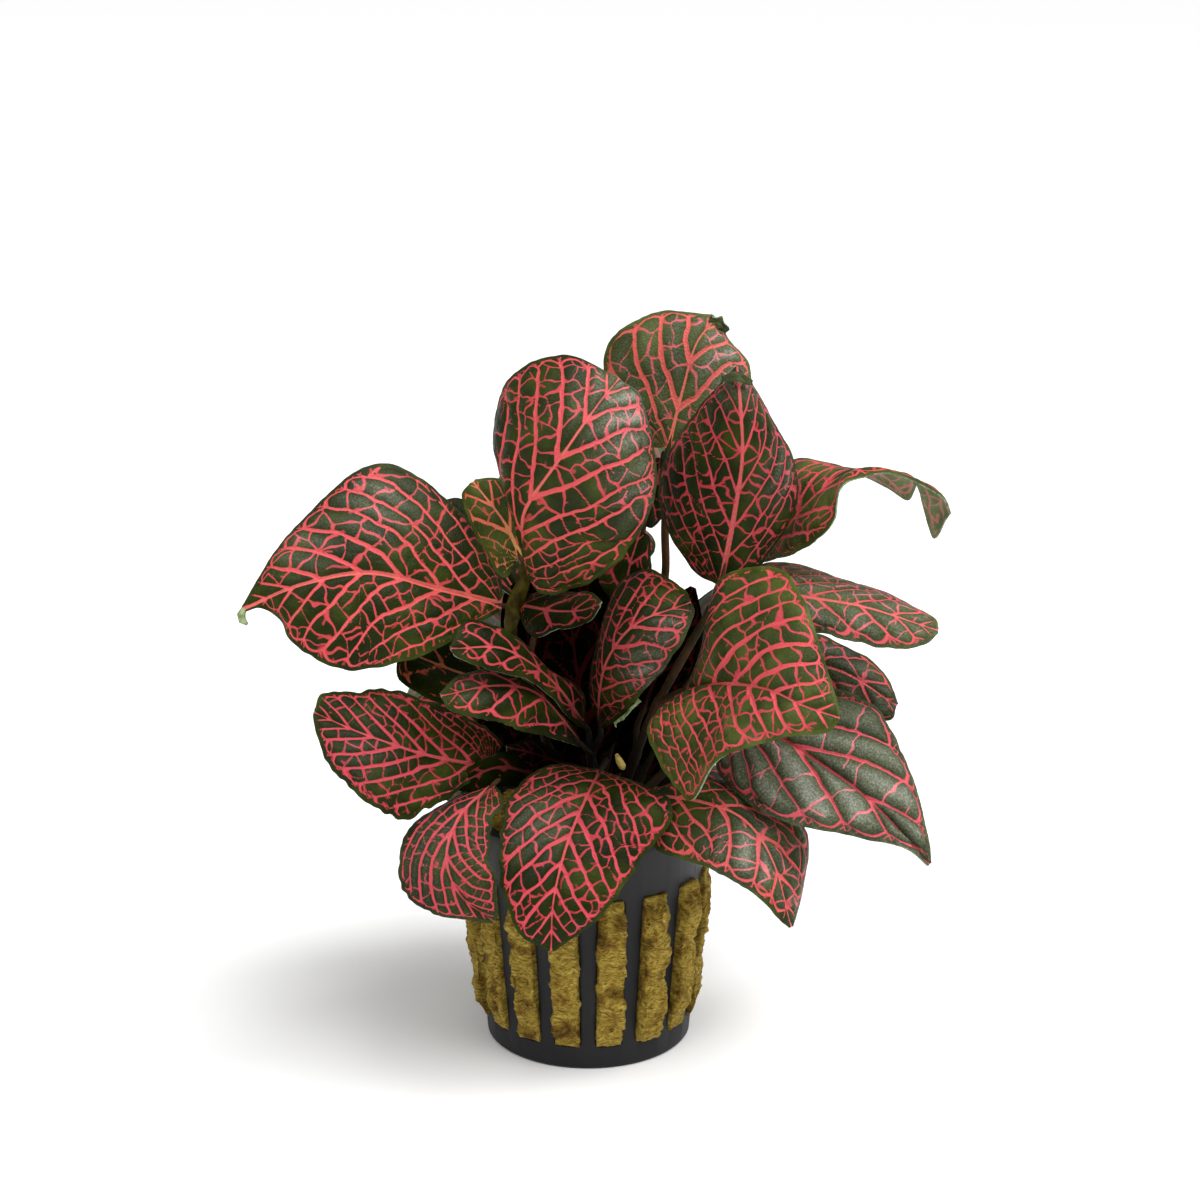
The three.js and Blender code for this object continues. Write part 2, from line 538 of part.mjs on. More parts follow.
// Both faces of a blade and the wall round its margin, with the same diagonals above and below.
function bladeGeometry(leaf) {
  const grid = bladeGrid(leaf);
  const rows = grid.length - 1;
  const columns = grid[0].length - 1;
  const positions = [];
  for (const face of [1, -1]) {
    for (const { at, up } of grid.flat()) {
      positions.push(...at.clone().addScaledVector(up, (face * BLADE_THICKNESS) / 2).toArray());
    }
  }
  const count = (rows + 1) * (columns + 1);
  const upper = (i, j) => i * (columns + 1) + j;
  const lower = (i, j) => count + upper(i, j);
  const index = [];
  const quad = (a, b, c, d) => index.push(a, b, c, a, c, d);
  for (let i = 0; i < rows; i++) {
    for (let j = 0; j < columns; j++) {
      quad(upper(i, j), upper(i, j + 1), upper(i + 1, j + 1), upper(i + 1, j));
      index.push(lower(i, j), lower(i + 1, j + 1), lower(i, j + 1));
      index.push(lower(i, j), lower(i + 1, j), lower(i + 1, j + 1));
    }
    quad(upper(i, 0), upper(i + 1, 0), lower(i + 1, 0), lower(i, 0));
    quad(upper(i, columns), lower(i, columns), lower(i + 1, columns), upper(i + 1, columns));
  }
  for (let j = 0; j < columns; j++) {
    quad(upper(0, j), lower(0, j), lower(0, j + 1), upper(0, j + 1));
    quad(upper(rows, j), upper(rows, j + 1), lower(rows, j + 1), lower(rows, j));
  }
  const geometry = new THREE.BufferGeometry();
  geometry.setAttribute("position", new THREE.Float32BufferAttribute(positions, 3));
  geometry.setIndex(index);
  return geometry;
}

// ---- The plant ----

const plant = new THREE.Group();

function place(name, geometry, material) {
  const mesh = new THREE.Mesh(geometry, material);
  mesh.name = name;
  plant.add(mesh);
}

place("net_pot", potGeometry(), PLASTIC);
place("mineral_wool", woolGeometry(), WOOL);
for (const name of Object.keys(SHOOTS)) place("shoot_" + name, shootGeometry(name), STEM);
for (const [name, leaf] of Object.entries(LEAVES)) place("leaf_" + name, bladeGeometry(leaf), LAMINA);

export default plant;
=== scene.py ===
"""The looks of a nerve plant (Fittonia) in a slotted net pot packed with mineral wool.

Sizes are millimetres until a mesh gets its points, which are metres. +X is right, +Y is away from
the viewer, +Z is up, and the origin is the centre of the pot's underside, as in the CAD part.
"""

import math

import bpy
import numpy as np
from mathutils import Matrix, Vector


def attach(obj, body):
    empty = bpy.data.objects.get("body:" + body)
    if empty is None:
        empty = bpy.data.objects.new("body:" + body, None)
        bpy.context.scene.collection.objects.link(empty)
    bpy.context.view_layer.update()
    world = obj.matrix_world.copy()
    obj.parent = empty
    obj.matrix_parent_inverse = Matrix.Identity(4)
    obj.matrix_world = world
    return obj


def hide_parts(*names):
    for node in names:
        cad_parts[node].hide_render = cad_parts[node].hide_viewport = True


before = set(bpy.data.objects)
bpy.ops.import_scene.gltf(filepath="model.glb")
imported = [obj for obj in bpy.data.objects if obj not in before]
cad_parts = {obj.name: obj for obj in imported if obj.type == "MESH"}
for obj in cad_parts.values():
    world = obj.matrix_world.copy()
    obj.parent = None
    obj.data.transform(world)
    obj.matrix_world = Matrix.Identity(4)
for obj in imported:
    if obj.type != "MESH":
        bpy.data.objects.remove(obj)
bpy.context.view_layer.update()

MM = 0.001

# ---- Sizes, as in the part's source ----

POT_HEIGHT = 50
POT_TOP_RADIUS = 25.2
POT_BASE_RADIUS = 21
POT_WALL = 1.2
POT_FLOOR = 1.6
RIM_RADIUS = 26.8
RIM_DEPTH = 1.6
FOOT_HEIGHT = 5
BAND_HEIGHT = 12
SLOTS = 16
SLOT_SHARE = 0.64
FLOOR_SLOTS = 8
FLOOR_SLOT_WIDTH = 2.4
FLOOR_DISC_RADIUS = 7

WOOL_TOP = 46
HOLE_DEPTH = 16
CLEARANCE = 0.3

STEM_RADIUS = 1.0
PETIOLE_RADIUS = 0.62
BLADE_BASE_HALF = 1.0
BLADE_TIP_HALF = 0.6
BLADE_CAMBER = 0.07
MARGIN_WAVE = 0.5
MARGIN_WAVES = 2
PLAIN_EDGE = [(0.1, 0.6), (0.38, 1), (0.74, 0.78)]

# ---- Sizes of the finer forms ----

POT_EDGE = 0.5  # the chamfer round the pot's underside
SLOT_CORNER = 1.1  # radius of its slots' corners
MOULDED_EDGE = 0.18  # radius of its other edges
CUTTER_DEPTH = 7  # of the bars that cut its slots, well through the wall
WALL_STEPS = 192
WOOL_VOXEL = 0.6  # of the mesh of the wool's skin

STEM_SIDES = 16
PETIOLE_SIDES = 12
HOOK_SIDES = 12
STEM_FOOT = WOOL_TOP - HOLE_DEPTH + CLEARANCE
RUN_ON = 0.12  # share of a blade's midrib that its petiole runs on under it
RUN_ON_BELOW = 0.35  # how far below the midrib it does
BLADE_SKIN = 0.35  # thickness, near a real blade's
FRONT_SPACING = 0.31  # between the points of a blade's mesh
BACK_SPACING = 0.75

# Shade is painted into the colours round the crown, darkest near this point.
CROWN = np.array([1, -6, 60])  # where the shoots part
CROWN_SHADE_REACH = 18  # how far from there shade is painted
DARKEST_PAINTED_SHADE = 0.97

# Each shoot: where its foot stands on the wool, and the points its stem runs through.
SHOOTS = {
    "left": ([-6, -1], [[-8, -3, 62], [-12, -6, 78], [-15, -8.5, 90], [-12.5, -9, 101.5]]),
    "top": ([2, 4], [[6, 6, 66], [12.5, 7.5, 84], [15.5, 8, 95], [15.5, 8, 106], [16, 9, 118]]),
    "right": ([6, -4], [[9.5, -6, 62], [14, -8, 74], [20, -8.5, 86], [24.5, -8.5, 94]]),
    "far_right": ([9, 2], [[15, 3, 64], [23, 3, 80], [29, 3, 91], [31.5, 3, 96]]),
    "centre": ([0, -6], [[0.5, -7, 56], [0.5, -7.5, 63]]),
    "low_left": ([-7, -7], [[-9, -9, 54], [-14, -14, 60.5]]),
    "low_right": ([8, -9], [[11, -9, 55], [19, -6, 62], [27, -4, 69]]),
    "back_left": ([-5, 6], [[-8, 11, 64], [-9, 14, 78], [-8, 15.5, 92]]),
    "back_right": ([5, 10], [[9, 15, 62], [11.5, 17, 80], [11, 18, 94], [11, 19, 104]]),
}
# Each leaf: its shoot and the point of the stem that it grows from (-1 is just above the wool), its midrib
# and its two margins. A margin is given point by point, or as one step that a plain blade spreads from its
# midrib.
LEAVES = {
    "upper_front": {
        "shoot": ("left", 3),
        "rib": [[-12, -12, 104.5], [-12, -18, 116], [-5, -22, 128], [2, -19, 137.5], [6, -14, 141.4]],
        "right": [[-8, -17.5, 99.5], [5, -18.5, 105.5], [13, -14, 120], [10.6, -12, 136.3]],
        "left": [[-15, -11, 116.5], [-18.6, -6, 128.5], [-14.6, -6, 139.8], [-4, -11, 145.1]],
    },
    "upper_small": {
        "shoot": ("left", 3),
        "rib": [[-13, -9.5, 104.5], [-16.5, -6, 111], [-22.6, -2, 118]],
        "right": [[-13, -7, 109.5], [-13.5, -4, 116], [-17.5, -1, 118.5]],
        "left": [[-16.5, -9.5, 100.5], [-21, -7, 106.5], [-24.8, -3, 114.6]],
    },
    "left_large": {
        "shoot": ("left", 2),
        "rib": [[-17, -10, 95], [-29, -14, 99.5], [-42, -18, 104], [-55, -21, 102.5], [-66.3, -21, 97.6]],
        "right": [[-18, -4, 101.5], [-26.2, -2, 112.9], [-41, -4, 122], [-57.4, -12, 110.8]],
        "left": [
            [-22, -15, 92.5], [-32.5, -22, 88.3], [-46.5, -25, 86.8], [-56.5, -24, 91.6],
            [-58.9, -22.5, 95.7], [-62.7, -21.5, 98],
        ],
    },
    "under_upper": {
        "shoot": ("left", 2),
        "rib": [[-13, -12, 95.5], [-7, -20, 97], [-1.5, -27, 99], [2.5, -32, 102]],
        "right": [[-11, -20, 92], [-5, -26, 95], [0.5, -31, 98.5]],
        "left": [[-10.5, -9, 97], [-4.5, -13, 99], [1, -23, 101]],
    },
    "back_left_top": {
        "shoot": ("left", 1),
        "rib": [[-14, 2, 93], [-21, 6, 102.5], [-29, 9, 111]],
        "right": [[-14, 7, 99], [-19, 10, 107], [-25.5, 11, 111]],
        "left": [[-19.5, 0, 97], [-26, 3, 102.5], [-30, 6, 108]],
    },
    "back_left_dark": {
        "shoot": ("left", 0),
        "rib": [[-14, 4, 72.5], [-26, 2, 77], [-38, 2, 82]],
        "right": [[-18, 8, 79], [-27, 10, 83.5], [-37.5, 7, 84]],
        "left": [[-20, 0, 70], [-30, -2, 72], [-38, -1, 76.5]],
    },
    "top": {
        "shoot": ("top", 4),
        "rib": [[16, 9, 122], [19, 12, 133.5], [21.5, 14, 142], [25.5, 17, 147]],
        "right": [[22.5, 12, 123], [31.5, 15, 129.5], [32.6, 17, 136.6], [28.2, 18, 142.4]],
        "left": [[10.5, 11, 123], [3.7, 14, 132.5], [4.3, 15, 142.4], [14, 17, 148]],
    },
    "top_lower": {
        "shoot": ("top", 4),
        "rib": [[15, 12, 119], [13.5, 14, 112.5], [11, 15, 104.5]],
        "right": [[11.5, 14, 118], [9, 16, 112], [8.5, 16, 106]],
        "left": [[18.5, 14, 116.5], [17, 16, 109.5], [13.5, 16, 104]],
    },
    "behind_upper": {
        "shoot": ("top", 1),
        "rib": [[8, 4, 87], [8, 5, 96.5], [10.5, 7, 105.5]],
        "right": [[11.5, 5, 89.5], [12.5, 6, 97], [12.5, 8, 103]],
        "left": [[2, 4, 88.5], [-2.5, 6, 95], [2, 8, 102]],
    },
    "right_upper": {
        "shoot": ("right", 3),
        "rib": [[26, -10, 99], [28, -14, 112.5], [29.5, -18, 126.5], [29, -17, 137.5], [28.5, -13, 143.6]],
        "right": [[33.5, -10, 103], [40.5, -7, 113.5], [39.9, -8, 123], [34.4, -9, 135]],
        "left": [[20.5, -6, 101.5], [14.5, -3, 112.5], [14.5, -4, 122], [21.5, -7, 133.5]],
    },
    "right_front": {
        "shoot": ("right", 1),
        "rib": [[19.5, -15, 79], [26.5, -27, 84.5], [34, -38, 87], [40.5, -43, 85.5], [47, -44, 83.5]],
        "right": [[11.5, -24, 73.5], [19.5, -34, 63.5], [25.5, -40, 74], [36, -44, 79.5], [44.5, -45, 81]],
        "left": [[23, -14, 89], [26, -16, 102.5], [36.5, -22, 106], [41.5, -30, 101], [45.5, -39, 89.5]],
    },
    "right_ragged": {
        "shoot": ("far_right", 3),
        "rib": [
            [35, 2, 101], [42.5, -2, 112.5], [49, -4, 119], [56, -6, 122], [63.2, -8, 120.4],
            [68.4, -9, 117.8], [70.6, -10, 113.6],
        ],
        "right": [
            [40.7, -6, 104.4], [44.9, -11, 109.4], [47.9, -12, 113], [49.3, -11, 118.5], [53.5, -9, 120.5],
            [58.5, -9, 121.8], [64.2, -10, 120], [68.8, -11, 117],
        ],
        "left": [
            [33, 10, 110], [39.5, 11, 118.5], [48.5, 8, 119.5], [55, 3, 118], [59.5, 0, 116],
            [63.3, -2, 113.9], [64.5, -4, 118], [66, -4, 114], [68, -5, 107.3], [69.8, -8, 111.5],
        ],
    },
    "right_behind": {
        "shoot": ("far_right", 3),
        "rib": [[33, -3, 96.5], [41.5, -10, 97], [55, -14, 95.6], [68.5, -14, 91]],
        "right": [[34, -10, 92], [44.5, -16, 91.2], [57, -18, 89], [65, -17, 88.8]],
        "left": [[35.5, 2, 100], [47, 2, 98.4], [58.5, -4, 95.6], [67.6, -10, 92.9]],
    },
    "right_back": {
        "shoot": ("far_right", 2),
        "rib": [[33, 9, 90], [41, 14, 93], [48.5, 18, 90]],
        "right": [[35, 6, 88], [42, 10, 89], [47.5, 15, 88]],
        "left": [[35, 12, 93], [41.5, 17, 95.5], [46.5, 19, 92.5]],
    },
    "centre_right": {
        "shoot": ("centre", 1),
        "rib": [[2.5, -10, 70], [2.5, -14, 79], [4.5, -19, 88], [10, -21, 95], [20, -18, 98]],
        "right": [[6.5, -16, 74], [12, -22, 82.5], [18, -24, 91.5], [20.5, -20, 96]],
        "left": [[0.5, -8, 76.5], [2, -8, 87], [5.5, -8, 97.5], [12, -10, 102], [18.5, -15, 100]],
    },
    "centre_left_upper": {
        "shoot": ("centre", 1),
        "rib": [[-1, -9, 70], [-7.5, -17, 82], [-16, -24, 90.5], [-26, -30, 92.5]],
        "right": [[-1.5, -7.5, 76.5], [-8.5, -14, 84], [-16, -19, 92.5], [-23, -24, 96.5]],
        "left": [[-4.5, -13.5, 73.5], [-10, -22, 83], [-18.5, -28, 87.5], [-24.5, -31, 91]],
    },
    "centre_left_lower": {
        "shoot": ("centre", 1),
        "rib": [[-1.5, -12, 67], [-9.5, -18, 79], [-18, -24, 83], [-28, -30, 83]],
        "right": [[-4.5, -10.5, 71.5], [-10.5, -13.5, 79], [-19, -19, 84.5], [-25, -26, 85.5]],
        "left": [[-4.5, -17, 69], [-13, -24, 74], [-20.5, -29, 78], [-26, -31, 80.5]],
    },
    "bottom_centre": {
        "shoot": ("centre", 0),
        "rib": [[2.5, -16, 62.5], [-0.5, -26, 60], [-4, -34, 54], [-6.5, -40, 45], [-7, -42, 35.5]],
        "right": [[-8.5, -18, 64], [-15.5, -26, 60], [-17, -36, 49.5], [-13.5, -41, 39.5]],
        "left": [[10.5, -20, 61], [16.5, -27, 58.5], [11, -34, 51.5], [2.5, -40, 42]],
    },
    "inner_centre": {
        "shoot": ("centre", 0),
        "rib": [[1, -3.5, 61], [-2, -3, 78], [-4, -2, 95]],
        "right": [9, 0, 1],
        "left": [-8, 2, 0],
    },
    "inner_left": {
        "shoot": ("back_left", -1),
        "rib": [[-6.5, 3.5, 53.5], [-9, 3, 60], [-12.5, 3.5, 67]],
        "right": [7, 0.5, 1.5],
        "left": [-8.5, 0, -3],
    },
    "inner_back": {
        "shoot": ("back_right", -1),
        "rib": [[4.5, 8.2, 53], [6, 8, 62], [9, 9, 72]],
        "right": [7, 0.3, -1],
        "left": [-6, 0.3, 1],
    },
    "inner_right": {
        "shoot": ("right", 0),
        "rib": [[11, -2, 70], [16, -2, 84], [21, -1, 96]],
        "right": [6, 1, -3],
        "left": [-6, 2, 2],
    },
    "lower_left": {
        "shoot": ("low_left", 1),
        "rib": [[-19, -19, 64.5], [-30.5, -25, 69], [-42, -29, 74.5], [-52.3, -31, 80]],
        "right": [[-17.5, -15, 69], [-26, -16, 75.2], [-39.5, -20, 80.7], [-50.3, -27, 82.6]],
        "left": [[-23.5, -24, 62.7], [-36, -33, 59.2], [-45.5, -36, 67], [-50.7, -35, 74.3]],
    },
    "lower_left_hanging": {
        "shoot": ("low_left", 1),
        "rib": [
            [-18.7, -22, 61.8], [-24.5, -30, 58.7], [-27, -36, 52.5], [-24.5, -38, 45.5], [-18, -38, 40],
        ],
        "right": [[-25, -23, 60], [-35.2, -30, 55.4], [-36, -34, 45.5], [-30.3, -38, 41.8]],
        "left": [[-16.5, -26, 60], [-19, -33, 55.5], [-18, -38, 49.5], [-17, -39, 43.5]],
    },
    "low_small": {
        "shoot": ("centre", 0),
        "rib": [[-4.5, -10, 61.8], [-10.5, -12, 64.6], [-16, -15, 67.2]],
        "right": [[-6.5, -6, 63.5], [-11.5, -9, 66.5], [-15.5, -13, 67]],
        "left": [[-8, -11, 60], [-13, -15, 61.6], [-16, -17, 64.6]],
    },
    "bottom_right": {
        "shoot": ("low_right", 0),
        "rib": [[11, -20, 59], [22, -24, 59], [30.5, -27, 56.5], [36, -32, 49.5], [39.4, -36, 37.8]],
        "right": [[12.5, -29, 52], [22.7, -33, 49], [31.8, -36, 45.1], [36.8, -37, 40]],
        "left": [[20, -16, 60.5], [34, -14, 57.5], [42.8, -19, 51.4], [41.9, -28, 42]],
    },
    "lower_right_large": {
        "shoot": ("low_right", 2),
        "rib": [[30.5, -9, 72], [41.5, -20, 68.5], [54.5, -29, 61.5], [66, -34, 50]],
        "right": [[25.5, -16, 63], [35.5, -28, 57.5], [49, -33, 55.9], [60.5, -35, 54]],
        "left": [[41.5, -6, 77], [56, -12, 75.5], [62.6, -21, 65], [65.8, -30, 55]],
    },
    "right_mid": {
        "shoot": ("low_right", 2),
        "rib": [[39, 2, 79.5], [51, 0, 78], [62, -4, 72]],
        "right": [[40, 0, 73], [50, -3, 70], [60, -6, 69.5]],
        "left": [[43, 5, 85], [55.6, 6, 79.6], [60.6, 1, 75.6]],
    },
    "right_side_low": {
        "shoot": ("low_right", 1),
        "rib": [[25, 4, 60], [38, 9, 62], [52, 12, 52]],
        "right": [2, -11, -4],
        "left": [2, 11, 4],
    },
    "back_upper_left": {
        "shoot": ("back_left", 1),
        "rib": [[-11, 19, 87], [-8.5, 25, 105], [-6, 29, 122]],
        "right": [-12, -4, 3],
        "left": [12, -1, 2],
    },
    "back_mid_left": {
        "shoot": ("back_left", 1),
        "rib": [[-12, 16, 78], [-28, 25, 89], [-44, 31, 90]],
        "right": [1, 9, -12],
        "left": [-3, 2, 13],
    },
    "back_low_left": {
        "shoot": ("back_left", 0),
        "rib": [[-13, 15, 62], [-27, 28, 63], [-40, 37, 55]],
        "right": [5, 9, -9],
        "left": [-5, -9, 8],
    },
    "back_hanging_left": {
        "shoot": ("back_left", 0),
        "rib": [[-12, 18, 53.5], [-21, 28, 46.5], [-26, 34, 34]],
        "right": [11, 5, 0],
        "left": [-10, -5, 0],
    },
    "left_side_low": {
        "shoot": ("back_left", 0),
        "rib": [[-16, 8, 62], [-31, 9, 63], [-45, 11, 55]],
        "right": [-1, 10, 5],
        "left": [-2, -11, -4],
    },
    "back_centre": {
        "shoot": ("back_left", 2),
        "rib": [[0, 22, 94.5], [1, 37, 100], [0, 50, 98]],
        "right": [13, -2, -4],
        "left": [-12, 1, -4],
    },
    "back_upper_right": {
        "shoot": ("back_right", 3),
        "rib": [[13, 21, 107], [20, 30, 120], [25, 34, 133]],
        "right": [-12, -1, 3],
        "left": [12, -7, -2],
    },
    "back_mid_right": {
        "shoot": ("back_right", 2),
        "rib": [[17, 19, 80], [31, 29, 84], [43, 35, 79]],
        "right": [2, -6, 8],
        "left": [3, 8, -11],
    },
    "back_middle": {
        "shoot": ("back_right", 1),
        "rib": [[7, 23, 76], [8, 38, 78], [11, 52, 71]],
        "right": [13, -3, -3],
        "left": [-13, 1, -3],
    },
    "back_low": {
        "shoot": ("back_right", 0),
        "rib": [[0, 19, 56], [-1, 36, 57], [-1, 51, 51]],
        "right": [13, -2, -3],
        "left": [-13, 1, -3],
    },
    "back_low_right": {
        "shoot": ("back_right", 0),
        "rib": [[16, 18, 64], [32, 31, 64], [46, 38, 54]],
        "right": [8, -9, 8],
        "left": [-7, 11, -8],
    },
    "back_hanging_right": {
        "shoot": ("back_right", 0),
        "rib": [[15, 20, 53], [24, 30, 46], [28, 35, 33]],
        "right": [-12, 4, 0],
        "left": [11, -6, 0],
    },
}

# Small blades too fine or too deep in the crown for the solids: tips that fold over, a young blade, a
# bract, and leaves that fill the crown's inside, painted close to dark as its shade.
SMALL_BLADES = {
    "fold_right_upper": {
        "rib": [[25.6, -15.8, 141.6], [28.4, -16.6, 142.4], [31.2, -15.6, 140.8]],
        "right": [0, -0.3, -0.9],
        "left": [0, 0.3, 0.8],
    },
    "fold_top": {
        "rib": [[24.3, 16.4, 147], [26.4, 16.6, 146.2], [27.9, 16.8, 144.2]],
        "right": [-0.6, 0, -0.9],
        "left": [0.5, 0, 0.7],
    },
    "young_sliver": {
        "rib": [[5.2, -11.4, 71], [7, -12.2, 72.6], [10.2, -11.8, 76]],
        "right": [0.1, -0.1, -0.35],
        "left": [-0.1, 0.1, 0.35],
    },
    "bract_left": {
        "rib": [[-12.2, -11.2, 104], [-13.6, -13.2, 99], [-15, -13.6, 94.5], [-15.6, -12.4, 87.5]],
        "right": [[-13.8, -11.4, 101.5], [-15.2, -12.6, 97.5], [-16.2, -12.8, 93], [-16.4, -12.2, 89]],
        "left": [[-11.2, -11.8, 101], [-12, -12.6, 97], [-13.6, -12.6, 92.5], [-14.9, -12.2, 89.5]],
    },
    "inner_low": {
        "rib": [[-10, 0.5, 76], [-12, 1, 84], [-13, 2, 97]],
        "right": [[-6, 0.5, 80], [-4.5, 1, 86], [-6, 2, 94]],
        "left": [[-13.5, 0.5, 79], [-17, 1, 84], [-17, 2, 93]],
    },
    "inner_high": {
        "rib": [[-1, 3, 82], [-1, 4, 90], [-2, 5, 99]],
        "right": [[3, 3, 84], [5, 4, 90], [2, 5, 97]],
        "left": [[-5, 3, 84], [-8, 4, 90], [-7, 5, 97]],
    },
    "inner_near": {
        "rib": [[-12, 2, 54], [-13.5, 3, 65], [-12, 3.5, 80]],
        "right": [5, 0.3, 0],
        "left": [-9, 0.3, 0],
    },
    "inner_mid": {
        "rib": [[-1, 3, 53], [-1, 3.5, 60], [-0.5, 4, 68]],
        "right": [4, 0, 0],
        "left": [-4, 0, 0],
    },
    "inner_rim": {
        "rib": [[-11, -17, 62.5], [-18, -20.5, 65], [-26, -24.5, 62.5]],
        "right": [0, 0.5, 3],
        "left": [0, -0.5, -4],
    },
    "inner_far": {
        "rib": [[12, 2, 55], [17, 3, 70], [23, 3, 86]],
        "right": [3.5, 0.5, -2],
        "left": [-4, 0.5, 2],
    },
}

# A curled tip and a dried scale: the points each runs through, and its radius at each.
HOOK = [[-66.1, -21, 97.8], [-66.7, -21.2, 96.6], [-66.5, -21.3, 95.4], [-65.6, -21.2, 94.6]]
HOOK_RADII = [0.55, 0.85, 0.8, 0.3]
DRY_SCALE = [[5.6, -15.0, 65.8], [6.2, -15.6, 64.6], [6.8, -15.8, 63.4], [7.1, -15.7, 62.8]]
DRY_SCALE_RADII = [0.3, 0.75, 0.8, 0.3]

# How a plain blade looks.
PLAIN_LOOKS = {
    "puff": 1.0,  # how much it puffs up between its veins
    "ragged": 1.0,  # how ragged its margin is
    "light": 0.0,  # painted sheen all over it, pale grey green, silvery towards 2
    "painted_sheen_patches": (),  # patches of stronger painted sheen: share of length, of width (left is below 0), radius, strength
    "fresh": 0.0,  # lighter green
    "deep": 0.0,  # painted shade: how much darker it is drawn, as if in the crown's shade
    "warm": 0.1,  # salmon in its veins, and straw above 1
    "base": 0.25,  # how much warmer they are at the base
    "angle": 40,  # degrees between its midrib and its side veins
    "veins": 1.0,  # how close its side veins stand
    "fan": None,  # degrees between those below its base, where they have a step of their own
    "bold": 1.0,  # how broad its side veins are
    "midrib": 1.0,  # how broad its midrib is
    "rungs": 1.0,  # how long its cells are
    "forks": 0.4,  # how often two of them stand side by side
    "bare": False,  # no short rungs at its margin
    "plain": False,  # no veins at all
}
# Blades out of sight from the front are drawn coarser and with a little painted shade, and those inside the
# crown are painted close to dark as the crown's shade.
UNSEEN = ("back_", "left_side", "right_side", "inner")
UNSEEN_PAINTED_SHADE = 0.15
CROWN_PAINTED_SHADE = 0.96
IN_CROWN = ("centre", "left", "back", "right", "low", "high", "near", "mid", "far")

# What differs from blade to blade.
BLADE_LOOKS = {
    **{"inner_" + name: {"deep": CROWN_PAINTED_SHADE} for name in IN_CROWN},
    "inner_rim": {"deep": 0.7},
    "upper_front": {
        "puff": 1.3, "light": 0.03, "warm": 0.25, "fresh": 0.04, "angle": 37, "veins": 1.05, "bold": 0.95,
        "painted_sheen_patches": [(0.86, 0.6, 9, 1.7), (0.6, 0.9, 6, 0.9)],
    },
    "upper_small": {
        "warm": 0.9, "light": 0.05, "fresh": 0.25, "angle": 35, "base": 1.0, "veins": 1.3, "bold": 1.4,
        "midrib": 1.3, "bare": True,
    },
    "left_large": {
        "warm": 0.25, "midrib": 1.5, "veins": 1.25, "puff": 1.2, "bold": 0.88, "forks": 0.35,
        "painted_sheen_patches": [(0.5, 0.65, 8, 0.8), (0.75, 0.6, 6, 0.6)],
    },
    "under_upper": {"deep": 0.62},
    "back_left_dark": {
        "deep": 0.55, "warm": 1.1, "angle": 50, "bold": 0.6, "veins": 0.8, "forks": 0.0, "bare": True,
    },
    "back_left_top": {"deep": 0.25},
    "top": {
        "warm": 0.55, "light": 0.42, "fresh": 0.25, "angle": 36, "bold": 1.2,
        "painted_sheen_patches": [(0.78, 0.7, 8, 0.9), (0.5, 0.8, 5, 0.6)],
    },
    "top_lower": {"deep": 0.3},
    "behind_upper": {"deep": 0.4},
    "right_upper": {
        "deep": 0.22, "angle": 33, "midrib": 1.15, "veins": 1.45, "bold": 0.7,
        "painted_sheen_patches": [(0.55, 0.85, 6, 0.9), (0.93, 0.3, 5, 0.8)],
    },
    "right_front": {
        "puff": 1.3, "light": 0.12, "warm": 0.15, "fresh": 0.22, "angle": 46, "veins": 1.45, "bold": 1.15,
        "fan": 11,
    },
    "right_ragged": {"light": 0.12, "fresh": 0.26, "veins": 1.3},
    "right_behind": {"light": 0.8, "fresh": 0.2, "angle": 38, "veins": 1.2, "bold": 0.65},
    "right_mid": {"light": 0.6, "bold": 0.8},
    "right_back": {"light": 0.25, "deep": 0.1},
    "centre_right": {
        "deep": 0.3, "warm": 0.15, "veins": 1.7, "bare": True,
        "painted_sheen_patches": [(0.55, 0.9, 5, 1.5), (0.8, 0.6, 4, 0.9)],
    },
    "centre_left_upper": {"deep": 0.25, "veins": 1.5, "bare": True, "bold": 0.85},
    "centre_left_lower": {
        "deep": 0.15, "veins": 1.2, "bare": True, "bold": 0.85, "painted_sheen_patches": [(0.85, 0.5, 4, 0.7)],
    },
    "back_mid_left": {"deep": 0.65},
    "back_mid_right": {"deep": 0.82},
    "back_middle": {"deep": 0.6},
    "fold_top": {"light": 1.0, "plain": True},
    "bottom_centre": {
        "puff": 1.2, "warm": 0.0, "angle": 43, "deep": 0.1, "veins": 1.8, "bold": 1.2, "forks": 0.6,
        "fan": 13, "ragged": 1.6, "painted_sheen_patches": [(0.45, 0.5, 7, 0.6)],
    },
    "lower_left": {
        "angle": 34, "deep": 0.24, "warm": 0.0, "veins": 2.1, "bold": 1.22, "forks": 0.7, "ragged": 3.0,
        "painted_sheen_patches": [(0.7, -0.3, 7, 0.35)],
    },
    "lower_left_hanging": {
        "light": 0.2, "warm": 0.0, "angle": 26, "veins": 2.7, "deep": 0.2, "rungs": 0.55, "bold": 1.55,
        "forks": 0.6, "fan": 15, "ragged": 2.0, "painted_sheen_patches": [(0.5, 0.5, 8, 0.3)],
    },
    "low_small": {"deep": 0.5},
    "bottom_right": {
        "puff": 1.4, "light": 0.05, "warm": 0.3, "fresh": 0.05, "bold": 0.82,
        "painted_sheen_patches": [(0.62, 0.35, 7, 1.3), (0.9, -0.3, 4, 0.6)],
    },
    "lower_right_large": {
        "puff": 2.6, "light": 0.8, "warm": 0.0, "angle": 24, "rungs": 2.2, "forks": 0.1, "bold": 0.72,
        "painted_sheen_patches": [(0.5, 0.45, 13, 0.7), (0.8, -0.3, 9, 0.4)],
    },
    "fold_right_upper": {"light": 0.8, "plain": True},
    "young_sliver": {"deep": -0.5, "plain": True},
    "bract_left": {"deep": 0.1, "plain": True},
}


# ---- Smooth curves and noise ----


